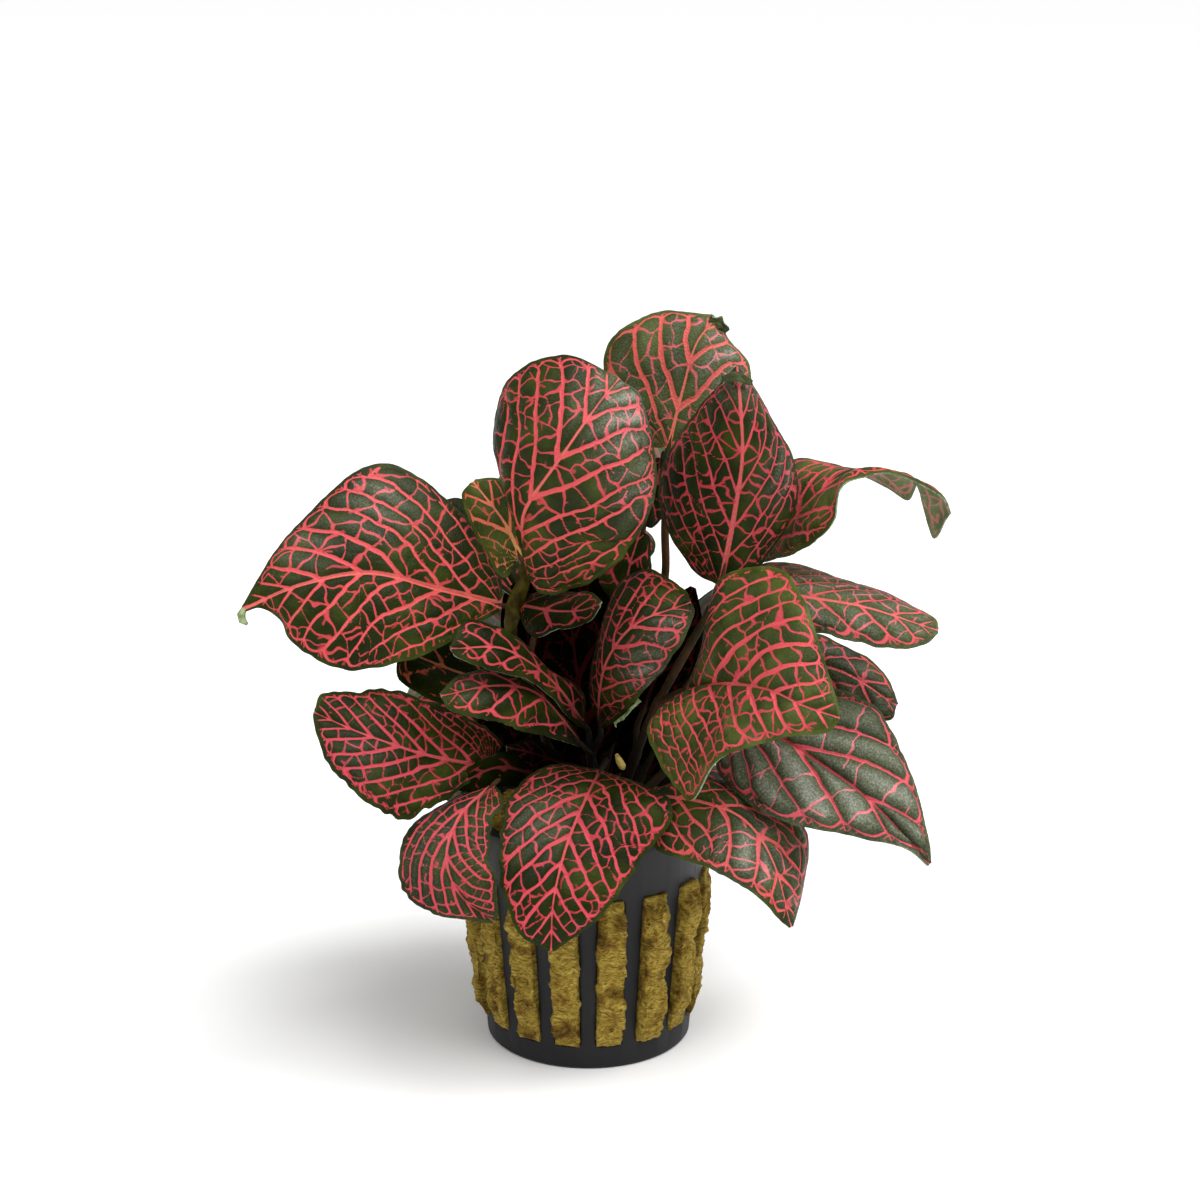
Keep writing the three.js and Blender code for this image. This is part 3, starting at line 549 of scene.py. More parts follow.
def along_curve(points, shares):
    """Points of a smooth curve through the given ones at shares of its length, and its directions there."""
    p = np.array(points, float)
    p = np.vstack([2 * p[0] - p[1], p, 2 * p[-1] - p[-2]])
    spans = len(p) - 3
    t = np.linspace(0, spans, 120 * spans + 1)
    k = np.minimum(t.astype(int), spans - 1)
    w = (t - k)[:, None]
    a, b, c, d = p[k], p[k + 1], p[k + 2], p[k + 3]
    out, into = 0.5 * (c - a), 0.5 * (d - b)
    q = b + w * out + w**2 * (3 * (c - b) - 2 * out - into) + w**3 * (2 * (b - c) + out + into)
    steps = np.linalg.norm(np.diff(q, axis=0), axis=1)
    run = np.concatenate([[0], np.cumsum(steps)])
    heading = np.gradient(q, axis=0)
    heading /= np.linalg.norm(heading, axis=1)[:, None]
    share = run / run[-1]
    place = np.stack([np.interp(shares, share, q[:, i]) for i in range(3)], 1)
    course = np.stack([np.interp(shares, share, heading[:, i]) for i in range(3)], 1)
    return place, course / np.linalg.norm(course, axis=1)[:, None]


def swell(points, size, seed):
    """Smooth noise from about -1 to 1 at each point, with swells of this size."""
    rng = np.random.default_rng(seed)
    total = np.zeros(points.shape[:-1])
    for _ in range(7):
        wave = rng.normal(size=3)
        wave *= rng.uniform(0.6, 1.5) * 2 * math.pi / size / np.linalg.norm(wave)
        total += np.sin(points @ wave + rng.uniform(0, 6.28))
    return total / 3.2


def ease(value, low, high):
    """0 below low, 1 above high, smooth between them."""
    t = np.clip((value - low) / (high - low), 0, 1)
    return t * t * (3 - 2 * t)


# ---- Blades ----


def unit(vectors):
    return vectors / np.maximum(np.linalg.norm(vectors, axis=-1), 1e-9)[..., None]


def margin_points(side, rib):
    """A margin's points: given one by one, or spread from the midrib as a plain blade's."""
    if isinstance(side[0], (list, tuple)):
        return np.array(side, float)
    places, _ = along_curve(rib, [at for at, _ in PLAIN_EDGE])
    return places + np.array([share for _, share in PLAIN_EDGE])[:, None] * np.array(side, float)


def margin_line(side, rib, shares):
    points = margin_points(side, rib)
    ends, ways = along_curve(rib, [0, 1])
    first = points[0] - ends[0]
    first -= ways[0] * (first @ ways[0])
    last = points[-1] - ends[1]
    last -= ways[1] * (last @ ways[1])
    base = ends[0] + unit(first) * BLADE_BASE_HALF
    tip = ends[1] + unit(last) * BLADE_TIP_HALF
    return along_curve(np.vstack([base, points, tip]), shares)[0]


def half_blade(leaf, side, rows, columns, seed, raggedness):
    """Points of one half of a blade, row by row from the midrib to the margin."""
    s = np.linspace(0, 1, rows + 1)
    middle, along = along_curve(leaf["rib"], s)
    edge = margin_line(leaf["right" if side > 0 else "left"], leaf["rib"], s)
    reach = edge - middle
    ragged = 0.2 * swell(edge, 6, seed) + 0.09 * swell(edge, 2.2, seed + 1)
    reach += unit(reach) * (raggedness * ragged * np.sin(math.pi * s) ** 0.5)[:, None]
    up = unit(np.cross(reach, along) * side)
    wave = np.sin(2 * math.pi * MARGIN_WAVES * s + side) * np.sin(math.pi * s)
    out = np.linspace(0, 1, columns + 1)[None, :, None]
    camber = BLADE_CAMBER * np.linalg.norm(reach, axis=1)[:, None, None] * 4 * out * (1 - out)
    lift = camber + MARGIN_WAVE * wave[:, None, None] * out**2
    return middle[:, None] + reach[:, None] * out + up[:, None] * lift


# ---- Veins ----

MIDRIB, SIDE_VEIN, LOOP, RUNG, VEINLET = 1.0, 0.78, 0.7, 0.45, 0.25  # the ranks of the veins
MIDRIB_HALF = (0.54, 0.22)  # half width at the base and at the tip
SIDE_VEIN_HALF = 0.55
LOOP_HALF = 0.28
RUNG_HALF = 0.29
NOTCH_HALF = 0.18
VEIN_GAP = 5.6  # between two side veins of a full-sized blade
VEINED_SHARE = 0.9  # of the midrib, from its base
BEND = 0.55  # how much a side vein bends towards the tip
LEAN = 0.35  # how much more than its angle it leans towards the tip, further out
FAN = 9  # side veins of a half that fan out below the base
FAN_STEP = 23  # degrees between them on a plain blade
LOOP_INSET = 1.0  # from the margin to the tops of the loops
LOOP_SWING = 1.7  # how far they bulge, at the most
RUNG_STEP = (2.3, 3.5)  # from one cell to the next
CELL_GAP = 1.4  # the least between the middles of two cells
WIDE_BAND = 2.5  # two cells can stand side by side in it
NOTCH_STEP = 1.75  # between the short rungs inside the margin
DOME_HEIGHT = 0.34  # of the lamina between the bold veins
CELL_HEIGHT = 0.16  # and of each cell in it
MIDRIB_GROOVE = 0.2
FAR = 9.0  # out of reach of any vein


def beside_midrib(points, rib):
    """How far along the midrib each point lies, and how far beside it. The midrib runs on straight."""
    line, course = along_curve(rib, np.linspace(0, 1, 160))
    onwards = np.linspace(0.5, 30, 60)[:, None]
    line = np.vstack([line[0] - onwards[::-1] * course[0], line, line[-1] + onwards * course[-1]])
    course = np.vstack([np.repeat(course[:1], 60, 0), course, np.repeat(course[-1:], 60, 0)])
    run = np.concatenate([[0], np.cumsum(np.linalg.norm(np.diff(line, axis=0), axis=1))])
    run -= run[60]
    flat = points.reshape(-1, 3)
    nearest = np.argmin((line**2).sum(1) - 2 * flat @ line.T, axis=1)
    offset = flat - line[nearest]
    ahead = (offset * course[nearest]).sum(1)
    beside = np.sqrt(np.maximum((offset**2).sum(1) - ahead**2, 0))
    return (run[nearest] + ahead).reshape(points.shape[:2]), beside.reshape(points.shape[:2])


class Half:
    """One half of a blade as a grid of points, measured in millimetres: s runs from 0 at the base to 1 at
    the tip, and a from 0 at the midrib to 1 at the margin."""

    def __init__(self, points):
        self.points = points
        self.rows, self.columns = points.shape[0] - 1, points.shape[1] - 1
        self.s = np.linspace(0, 1, self.rows + 1)[:, None] * np.ones((1, self.columns + 1))
        self.a = np.linspace(0, 1, self.columns + 1)[None, :] * np.ones((self.rows + 1, 1))
        d_s = np.gradient(points, 1 / self.rows, axis=0)
        d_a = np.gradient(points, 1 / self.columns, axis=1)
        self.across, self.mixed, self.length = (d_a**2).sum(-1), (d_a * d_s).sum(-1), (d_s**2).sum(-1)
        self.area = np.maximum(self.across * self.length - self.mixed**2, 1e-3)
        width = np.sqrt(self.area / np.maximum(self.length, 1e-6))
        self.from_midrib, self.from_margin = self.a * width, (1 - self.a) * width

    def steepness(self, field):
        """How much a field changes in a millimetre, the way it changes most."""
        f_s = np.gradient(field, 1 / self.rows, axis=0)
        f_a = np.gradient(field, 1 / self.columns, axis=1)
        square = self.length * f_a**2 - 2 * self.mixed * f_a * f_s + self.across * f_s**2
        return np.sqrt(np.maximum(square, 0) / self.area) + 1e-6

    def lay_side_veins(self, rib, size, seed, looks, rng):
        """Counts the side veins, which are the lines where the count is whole. Each leaves the midrib at an
        angle and bends towards the tip. Below 0 they fan out from the base."""
        forward, beside = beside_midrib(self.points, rib)
        free = ease(self.from_midrib, 0, 3)
        unsteady = 0.5 * swell(self.points, 9, seed + 1) + 0.25 * swell(self.points, 3.2, seed + 9)
        forward = forward + free * unsteady
        forward = forward - BEND / size * beside**2
        angle = math.radians(looks["angle"])
        slant, gain = 1 / math.tan(angle), LEAN / math.tan(angle) / size
        start = (forward - slant * beside) / (1 + gain * beside)
        vein_gap = min(VEIN_GAP, 1.6 + size / 9) / looks["veins"]
        pairs = max(3, int(round(VEINED_SHARE * size * math.sin(angle) / vein_gap)))
        steps = 0.75 + 0.5 * np.sin(math.pi * (np.arange(pairs) + 0.6) / pairs)
        steps = steps * rng.uniform(0.88, 1.12, pairs)
        places = VEINED_SHARE * size * np.concatenate([[0], np.cumsum(steps)]) / steps.sum()
        numbers = np.append(np.arange(pairs + 1.0), pairs + 1.4)
        count = np.interp(start, np.append(places, size), numbers)
        fan_step = math.radians(looks["fan"] or FAN_STEP / looks["veins"])
        turns = np.concatenate([[0], np.cumsum(fan_step * rng.uniform(0.85, 1.15, FAN))])
        turned = np.arctan2(beside, forward) - angle
        below = start < 0
        count[below] = -np.interp(turned, turns, np.arange(FAN + 1.0))[below]
        nearest = np.clip(np.round(count), -FAN, pairs)
        self.forward, self.beside, self.count = forward, beside, count
        self.run = np.hypot(forward - np.maximum(start, 0), beside)
        self.gap = 1 / self.steepness(count)
        self.to_side = np.abs(count - nearest) * self.gap
        self.breadth = rng.uniform(0.88, 1.12, pairs + FAN + 2)[(nearest + FAN).astype(int)]

    def lay_loops(self, size):
        """Joins the side veins inside the margin by loops that bulge outwards between them."""
        count, gap = self.count, self.gap
        swing = LOOP_SWING * np.clip(gap / 5, 0.2, 1)
        self.loop_at = (LOOP_INSET + swing * (1 - np.abs(np.sin(math.pi * count)))) * min(1, size / 40)
        slope = swing * math.pi * np.cos(math.pi * count) / gap
        self.to_loop = np.abs(self.from_margin - self.loop_at) / np.sqrt(1 + slope**2)
        self.outside = ease(self.loop_at - self.from_margin, -0.1, 0.3)
        # There is none where the side veins run beside the margin.
        crossing = np.abs(np.gradient(count, 1 / self.rows, axis=0)) / np.sqrt(self.length) * gap
        self.unlooped = 0.6 * (1 - ease(crossing, 0.25, 0.5))

    def lay_rungs(self, seed, looks, rng):
        """Lays the rungs, which are the borders between cells strung along each band between two side
        veins, and the veinlets, which end blindly in some of the cells."""
        flat = np.stack([self.forward.ravel(), self.beside.ravel()], 1)
        shift = [swell(self.points.reshape(-1, 3), 3.4, seed + 2 + i) for i in range(2)]
        moved = flat + 0.35 * np.stack(shift, 1)
        band = np.floor(self.count).ravel()
        within, spread, run = self.count.ravel() - band, self.gap.ravel(), self.run.ravel()
        inside = (self.from_margin > 0.8 * self.loop_at).ravel() & (self.from_midrib > 0.6).ravel()
        found = np.tile([FAR, 1.0, -FAR], (len(flat), 1))
        for value in np.unique(band):
            here = np.nonzero(band == value)[0]
            line = here[inside[here]]
            if len(line) < 30:
                continue
            cells = cells_along(line, run, within, spread, flat, looks, rng)
            if len(cells) > 1:
                found[here] = cell_borders(moved[here], moved[cells], rng)
        self.to_rung, self.rung_breadth, self.in_veinlet = (x.reshape(self.a.shape) for x in found.T)


def cells_along(line, run, within, spread, flat, looks, rng):
    """The points of a band that are the middles of its cells. Now and then two cells stand side by side,
    so that the rungs fork."""
    cells = []
    at = run[line].min() + rng.uniform(0.8, 2.0)
    while at < run[line].max():
        near = line[np.abs(run[line] - at) < 0.6]
        wide = len(near) > 0 and np.median(spread[near]) > WIDE_BAND
        two = wide and rng.uniform() < looks["forks"]
        for level in (0.27, 0.73) if two else (rng.uniform(0.38, 0.62),):
            target = at + (rng.uniform(-0.9, 0.9) if two else 0)
            off = (run[line] - target) ** 2 + ((within[line] - level) * spread[line]) ** 2
            spot = line[off.argmin()]
            if off.min() < 0.5 and all(np.hypot(*(flat[spot] - flat[other])) > CELL_GAP for other in cells):
                cells.append(spot)
        at += rng.uniform(*RUNG_STEP) * looks["rungs"] * (1 if wide else 0.75)
    return cells


def cell_borders(points, cells, rng):
    """For each point of a band: how far it is from the nearest border between two cells, how broad that
    border is, and how deep it lies in its cell's veinlet."""
    offsets = points[:, None] - cells[None]
    distances = np.linalg.norm(offsets, axis=2)
    order = np.argsort(distances, axis=1)[:, :2]
    pick = np.arange(len(points))
    one, two = order[:, 0], order[:, 1]
    between = np.linalg.norm(cells[one] - cells[two], axis=1)
    to_border = (distances[pick, two] ** 2 - distances[pick, one] ** 2) / (2 * np.maximum(between, 1e-6))
    strength = rng.uniform(0.78, 1.12, (len(cells), len(cells)))
    strength[rng.uniform(size=strength.shape) < 0.02] = 0.0
    strength = np.minimum(strength, strength.T)
    turn = rng.uniform(0, 2 * math.pi, len(cells))
    ray = np.stack([np.cos(turn), np.sin(turn)], 1)[one]
    out = offsets[pick, one]
    ahead = (out * ray).sum(1)
    aside = np.abs(out[:, 0] * ray[:, 1] - out[:, 1] * ray[:, 0])
    present = (rng.uniform(size=len(cells)) < 0.4)[one] & (ahead > 0.45)
    in_veinlet = np.where(present, 0.1 + 0.12 * np.clip(ahead / 1.4, 0, 1) - aside, -FAR)
    return np.stack([to_border, strength[one, two], in_veinlet], 1)


def half_veins(points, rib, size, seed, looks):
    """The veins of one half: how deep each point lies in a vein (mm, below 0 outside), the rank of that
    vein, the height of the lamina there, and how near it is to the top of a dome and to the edge."""
    rng = np.random.default_rng(seed)
    half = Half(points)
    half.lay_side_veins(rib, size, seed, looks, rng)
    half.lay_loops(size)
    half.lay_rungs(seed, looks, rng)
    s, a, gap, outside, from_margin = half.s, half.a, half.gap, half.outside, half.from_margin

    # Short rungs run on from the loops towards the margin.
    margin_steps = np.linalg.norm(np.diff(points[:, -1], axis=0), axis=1)
    notch = np.concatenate([[0], np.cumsum(margin_steps)])[:, None] / NOTCH_STEP
    notch = notch + 0.35 * swell(points, 6, seed + 6)
    to_notch = np.abs(notch - np.round(notch)) * NOTCH_STEP + (FAR if looks["bare"] else 0)

    scale = min(1.0, 0.55 + size / 100)
    crowd = np.clip(gap / 5, 0.12, 1.1) * (1 - 0.8 * ease(gap, 9, 14)) * looks["bold"]
    fine_crowd = np.clip(gap / 4, 0.72, 1)
    # Near the tip only the midrib and the side veins are left.
    blunt = 1.5 * ease(s, 0.9, 0.97)
    base_half, tip_half = MIDRIB_HALF
    midrib_half = ((base_half - tip_half) * (1 - s) ** 1.2 + tip_half) * looks["midrib"]
    side_half = SIDE_VEIN_HALF * (1 - 0.4 * a) * half.breadth * (1 - 0.5 * outside) * crowd
    rung_half = RUNG_HALF * (1 - 0.2 * a) * half.rung_breadth * fine_crowd
    kinds = [
        (MIDRIB, midrib_half * scale - half.from_midrib),
        (SIDE_VEIN, side_half * scale - half.to_side),
        (LOOP, LOOP_HALF * fine_crowd * scale - half.to_loop - half.unlooped - blunt),
        (RUNG, rung_half * scale - half.to_rung - 1.5 * outside - blunt),
        (VEINLET, half.in_veinlet - 1.5 * outside - blunt),
        (VEINLET, NOTCH_HALF - to_notch - 1.5 * (1 - outside) - blunt),
    ]
    # No vein reaches the margin, and the finer ones die out first.
    dying = 0.8 * ease(0.8 - from_margin, 0, 0.5)
    depth, rank = np.full(a.shape, -FAR), np.zeros(a.shape)
    for kind, value in kinds:
        if kind != MIDRIB:
            value = value - dying
        better = value > depth
        depth, rank = np.where(better, value, depth), np.where(better, kind, rank)

    # The lamina puffs up between the bold veins, and a little between the fine ones.
    to_bold = np.minimum(np.minimum(half.from_midrib, half.to_side), half.to_loop)
    to_any = np.minimum(to_bold, half.to_rung)
    height = DOME_HEIGHT * (1 - np.exp(-to_bold / 1.4)) + CELL_HEIGHT * (1 - np.exp(-to_any / 0.6))
    height -= MIDRIB_GROOVE * np.exp(-((half.from_midrib / 0.8) ** 2))
    height *= ease(from_margin, 0, 2.0) * scale
    dome = 1 - np.exp(-((to_bold / (0.5 + 0.2 * np.minimum(gap, 8))) ** 2))
    return depth, rank, height, dome, 1 - ease(from_margin, 0.2, 1.3)


# ---- Pieces ----


def deselect():
    bpy.ops.object.select_all(action="DESELECT")


def apply_modifiers(obj):
    deselect()
    obj.select_set(True)
    bpy.context.view_layer.objects.active = obj
    for modifier in list(obj.modifiers):
        bpy.ops.object.modifier_apply(modifier=modifier.name)


def keep(obj, name, nodes, materials):
    """Names a piece and its mesh, gives it its materials, hangs it from the root, and hides the parts that
    it stands in for.
    """
    obj.name = obj.data.name = name
    obj.data.materials.clear()
    for skin in materials:
        obj.data.materials.append(skin)
    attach(obj, "root")
    if nodes:
        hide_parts(*nodes)


def painted_crown_shade_share(points):
    """Painted shade: how much darker a point is drawn for lying in the crown, where little light reaches
    it.
    """
    return 0.85 * np.exp(-((np.linalg.norm(points - CROWN, axis=-1) / CROWN_SHADE_REACH) ** 2))


def store(mesh, name, values):
    attribute = mesh.attributes.new(name, "FLOAT", "POINT")
    attribute.data.foreach_set("value", np.asarray(values, np.float32).ravel())


def vertex_values(mesh, name):
    """Each vertex's place or normal, as a row of three."""
    values = np.empty(3 * len(mesh.vertices), np.float32)
    mesh.vertices.foreach_get(name, values)
    return values.reshape(-1, 3)


def sheet(columns, rows):
    """A flat grid, and the row and column that each of its points stands in."""
    deselect()
    bpy.ops.mesh.primitive_grid_add(x_subdivisions=columns, y_subdivisions=rows, size=2)
    obj = bpy.context.object
    flat = vertex_values(obj.data, "co")
    column = np.rint((flat[:, 0] + 1) / 2 * columns).astype(int)
    row = np.rint((flat[:, 1] + 1) / 2 * rows).astype(int)
    return obj, row, column


def painted_sheen_share(points, looks):
    """The painted sheen on each point of a blade: a film all over it, and patches where it is stronger."""
    rows, columns = points.shape[0] - 1, points.shape[1] // 2
    wax = np.full(points.shape[:2], float(looks["light"]))
    for share, across, radius, strength in looks["painted_sheen_patches"]:
        centre = points[round(share * rows), columns + round(across * columns)]
        wax += strength * np.exp(-((np.linalg.norm(points - centre, axis=2) / radius) ** 2))
    return wax


def blade_size(leaf):
    """A blade's length, the longer of that and most of its margins' run, and its half width."""
    s = np.linspace(0, 1, 60)
    rib, _ = along_curve(leaf["rib"], s)
    edges = [margin_line(leaf[side], leaf["rib"], s) for side in ("left", "right")]
    length = np.linalg.norm(np.diff(rib, axis=0), axis=1).sum()
    edge_run = max(np.linalg.norm(np.diff(edge, axis=0), axis=1).sum() for edge in edges)
    half_width = max(np.linalg.norm(edge - rib, axis=1).max() for edge in edges)
    return length, max(length, 0.85 * edge_run), half_width


def blade(name, leaf, seed, nodes, skins):
    """A blade of the part, from the same curves, with its lamina raised between the veins."""
    unseen = name.startswith(UNSEEN)
    looks = {**PLAIN_LOOKS, "deep": UNSEEN_PAINTED_SHADE if unseen else 0.0, **BLADE_LOOKS.get(name, {})}
    spacing = BACK_SPACING if unseen else FRONT_SPACING
    length, run, half_width = blade_size(leaf)
    rows, columns = int(run / spacing), int(half_width / spacing)
    halves = []
    for side in (-1, 1):
        points = half_blade(leaf, side, rows, columns, seed + side, looks["ragged"])
        halves.append([points, *half_veins(points, leaf["rib"], length, seed * 10 + side, looks)])
    whole = [np.concatenate([left[:, :0:-1], right], axis=1) for left, right in zip(*halves)]
    points, depth, rank, height, dome, edge = whole
    normal = unit(np.cross(np.gradient(points, axis=1), np.gradient(points, axis=0)))
    height = height * looks["puff"] + 0.12 * swell(points, 14, seed)
    points = points + normal * height[..., None]

    obj, row, column = sheet(2 * columns, rows)
    obj.data.vertices.foreach_set("co", (points[row, column] * MM).astype(np.float32).ravel())
    near_base = (1 - np.arange(rows + 1) / rows)[:, None] ** 3 * np.ones(points.shape[:2])
    # What the materials read at each point. The painted sheen lies on the domes between the veins, shade is
    # painted in the crown, and the lamina is a little lighter at its edge.
    fields = {
        "fresh": looks["fresh"] + 0.08 * edge,
        "vein": depth - (FAR if looks["plain"] else 0),
        "rank": rank,
        "warm": looks["warm"] + looks["base"] * near_base,
        "light": painted_sheen_share(points, looks) * (0.2 + 0.8 * dome),
        "deep": np.clip(looks["deep"] + painted_crown_shade_share(points), 0, DARKEST_PAINTED_SHADE),
    }
    for field, values in fields.items():
        store(obj.data, field, values[row, column])
    obj.data.update()
    bpy.ops.object.shade_smooth()
    skin = obj.modifiers.new("skin", "SOLIDIFY")
    skin.thickness = BLADE_SKIN * MM
    skin.offset = 0
    skin.material_offset = 1
    skin.material_offset_rim = 2
    keep(obj, "blade_" + name, nodes, skins)
    apply_modifiers(obj)


def tube(points, radii, sides):
    """A closed tube through the points, thicker and thinner as the radii say."""
    deselect()
    bpy.ops.curve.primitive_nurbs_path_add()
    obj = bpy.context.object
    line = obj.data
    line.splines.clear()
    spline = line.splines.new("POLY")
    spline.points.add(len(points) - 1)
    for point, place, radius in zip(spline.points, points, radii):
        point.co = (*(np.array(place) * MM), 1)
        point.radius = radius
    line.dimensions = "3D"
    line.bevel_depth = MM
    line.bevel_resolution = (sides - 4) // 2
    line.use_fill_caps = True
    bpy.ops.object.convert(target="MESH")
    obj = bpy.context.object
    bpy.ops.object.shade_smooth()
    return obj


def join(pieces):
    deselect()
    for piece in pieces:
        piece.select_set(True)
    bpy.context.view_layer.objects.active = pieces[0]
    bpy.ops.object.join()
    return pieces[0]


def petiole(start, rib):
    """A leaf's stalk, from its stem to its blade. It runs on a little under the blade, as the midrib."""
    start, rib = np.array(start, float), np.array(rib, float)
    along = unit(rib[1] - rib[0])
    end = rib[0] - along * CLEARANCE
    turn = end - along * np.linalg.norm(end - start) / 3
    course, _ = along_curve([start, (start + turn) / 2, turn, end], np.linspace(0, 1, 26))
    under, _ = along_curve(rib, np.linspace(0, RUN_ON, 7))
    course = np.vstack([course, under[1:] - [0, 0, RUN_ON_BELOW]])
    t = np.linspace(0, 1, len(course))
    radii = PETIOLE_RADIUS * (1.15 - 0.35 * t) + 0.2 * np.exp(-((t / 0.1) ** 2))
    radii[-6:] *= np.linspace(0.95, 0.3, 6)
    return tube(course, radii, PETIOLE_SIDES)


def shoot(name):
    """A stem, a little swollen where its leaves grow from it, with their petioles."""
    foot, stem = SHOOTS[name]
    points = [[*foot, STEM_FOOT], [*foot, WOOL_TOP + 2], *stem]
    shares = np.linspace(0, 1, 60)
    line, _ = along_curve(points, shares)
    leaves = [leaf for leaf in LEAVES.values() if leaf["shoot"][0] == name]
    radii = STEM_RADIUS * (1.02 - 0.22 * shares)
    for joint in {leaf["shoot"][1] for leaf in leaves}:
        to_joint = np.linalg.norm(line - points[joint + 2], axis=1)
        radii += 0.28 * np.exp(-((to_joint / 1.3) ** 2))
    radii += 0.04 * swell(line, 5, len(name))
    pieces = [tube(line, radii, STEM_SIDES)]
    for leaf in leaves:
        pieces.append(petiole(points[leaf["shoot"][1] + 2], leaf["rib"]))
    obj = join(pieces)
    # Painted shade: the stems are drawn a little darker all over, and much darker in the crown.
    deep = 0.15 + 1.1 * painted_crown_shade_share(vertex_values(obj.data, "co") / MM)
    store(obj.data, "deep", np.minimum(deep, DARKEST_PAINTED_SHADE))
    keep(obj, "stem_" + name, ["shoot_" + name], [STEM])


def wall_radius(z):
    """The outer radius of the pot's wall at a height."""
    return POT_BASE_RADIUS + (POT_TOP_RADIUS - POT_BASE_RADIUS) * z / POT_HEIGHT


def block(middle, size):
    """A block of this size round its middle."""
    deselect()
    bpy.ops.mesh.primitive_cube_add(size=1, location=[place * MM for place in middle])
    obj = bpy.context.object
    obj.scale = [side * MM for side in size]
    bpy.ops.object.transform_apply(location=True, rotation=False, scale=True)
    return obj


def select_edges(obj, wanted):
    """Selects the edges whose two ends pass the test, and leaves the piece in edit mode."""
    bpy.ops.object.mode_set(mode="EDIT")
    bpy.ops.mesh.select_mode(type="EDGE")
    bpy.ops.mesh.select_all(action="DESELECT")
    bpy.ops.object.mode_set(mode="OBJECT")
    for edge in obj.data.edges:
        edge.select = wanted(*(obj.data.vertices[k].co for k in edge.vertices))
    bpy.ops.object.mode_set(mode="EDIT")


def round_long_edges(obj):
    """Rounds the edges that run along X."""
    select_edges(obj, lambda one, two: abs(one.x - two.x) > MM)
    bpy.ops.mesh.bevel(offset=SLOT_CORNER * MM, segments=6)
    bpy.ops.object.mode_set(mode="OBJECT")


def turn_round_axis(obj, angle):
    obj.rotation_euler.z = angle
    bpy.ops.object.transform_apply(location=True, rotation=True, scale=True)


def spun_pot():
    """The pot before its slots are cut, spun from its profile."""
    deselect()
    under_rim = POT_HEIGHT - RIM_DEPTH
    profile = [
        (0, 0),
        (wall_radius(0) - POT_EDGE, 0),
        (wall_radius(POT_EDGE), POT_EDGE),
        (wall_radius(under_rim), under_rim),
        (RIM_RADIUS, under_rim),
        (RIM_RADIUS, POT_HEIGHT),
        (wall_radius(POT_HEIGHT) - POT_WALL, POT_HEIGHT),
        (wall_radius(POT_FLOOR) - POT_WALL, POT_FLOOR),
        (0, POT_FLOOR),
    ]
    bpy.ops.mesh.primitive_circle_add(vertices=len(profile), radius=MM)
    obj = bpy.context.object
    for vertex, (radius, z) in zip(obj.data.vertices, profile):
        vertex.co = (radius * MM, 0, z * MM)
    # The ring's edge on the axis goes, so that the profile is spun open and closes at its two poles.
    select_edges(obj, lambda one, two: one.x == two.x == 0)
    bpy.ops.mesh.delete(type="EDGE")
    bpy.ops.mesh.select_all(action="SELECT")
    bpy.ops.mesh.spin(steps=WALL_STEPS, angle=2 * math.pi, center=(0, 0, 0), axis=(0, 0, 1))
    bpy.ops.mesh.select_all(action="SELECT")
    bpy.ops.mesh.remove_doubles(threshold=0.02 * MM)
    bpy.ops.mesh.normals_make_consistent(inside=False)
    bpy.ops.object.mode_set(mode="OBJECT")
    return obj


def slot_cutters():
    """Rounded bars that cut the wall's slots, and flat ones for the floor's."""
    pitch = 2 * math.pi / SLOTS
    height = POT_HEIGHT - BAND_HEIGHT - FOOT_HEIGHT
    middle = FOOT_HEIGHT + height / 2
    out = wall_radius(middle)
    cutters = []
    for i in range(SLOTS):
        cutter = block((out, 0, middle), (CUTTER_DEPTH, SLOT_SHARE * pitch * out, height))
        round_long_edges(cutter)
        turn_round_axis(cutter, -math.pi / 2 + (i + 0.5) * pitch)
        cutters.append(cutter)
    length = POT_BASE_RADIUS - 2 * POT_WALL - FLOOR_DISC_RADIUS
    for i in range(FLOOR_SLOTS):
        cutter = block((FLOOR_DISC_RADIUS + length / 2, 0, 0), (length, FLOOR_SLOT_WIDTH, 4 * POT_FLOOR))
        turn_round_axis(cutter, i * 2 * math.pi / FLOOR_SLOTS)
        cutters.append(cutter)
    return join(cutters)


def pot():
    """The moulded net pot, with slots through its wall and its floor."""
    body = spun_pot()
    cutters = slot_cutters()
    cut = body.modifiers.new("slots", "BOOLEAN")
    cut.operation = "DIFFERENCE"
    cut.solver = "EXACT"
    cut.object = cutters
    apply_modifiers(body)
    bpy.data.objects.remove(cutters)
    soft = body.modifiers.new("moulded edges", "BEVEL")
    soft.width = MOULDED_EDGE * MM
    soft.segments = 2
    soft.limit_method = "ANGLE"
    soft.angle_limit = math.radians(38)
    apply_modifiers(body)
    bpy.ops.object.shade_smooth_by_angle(angle=math.radians(35))
    keep(body, "moulded_pot", ["net_pot"], [PLASTIC])


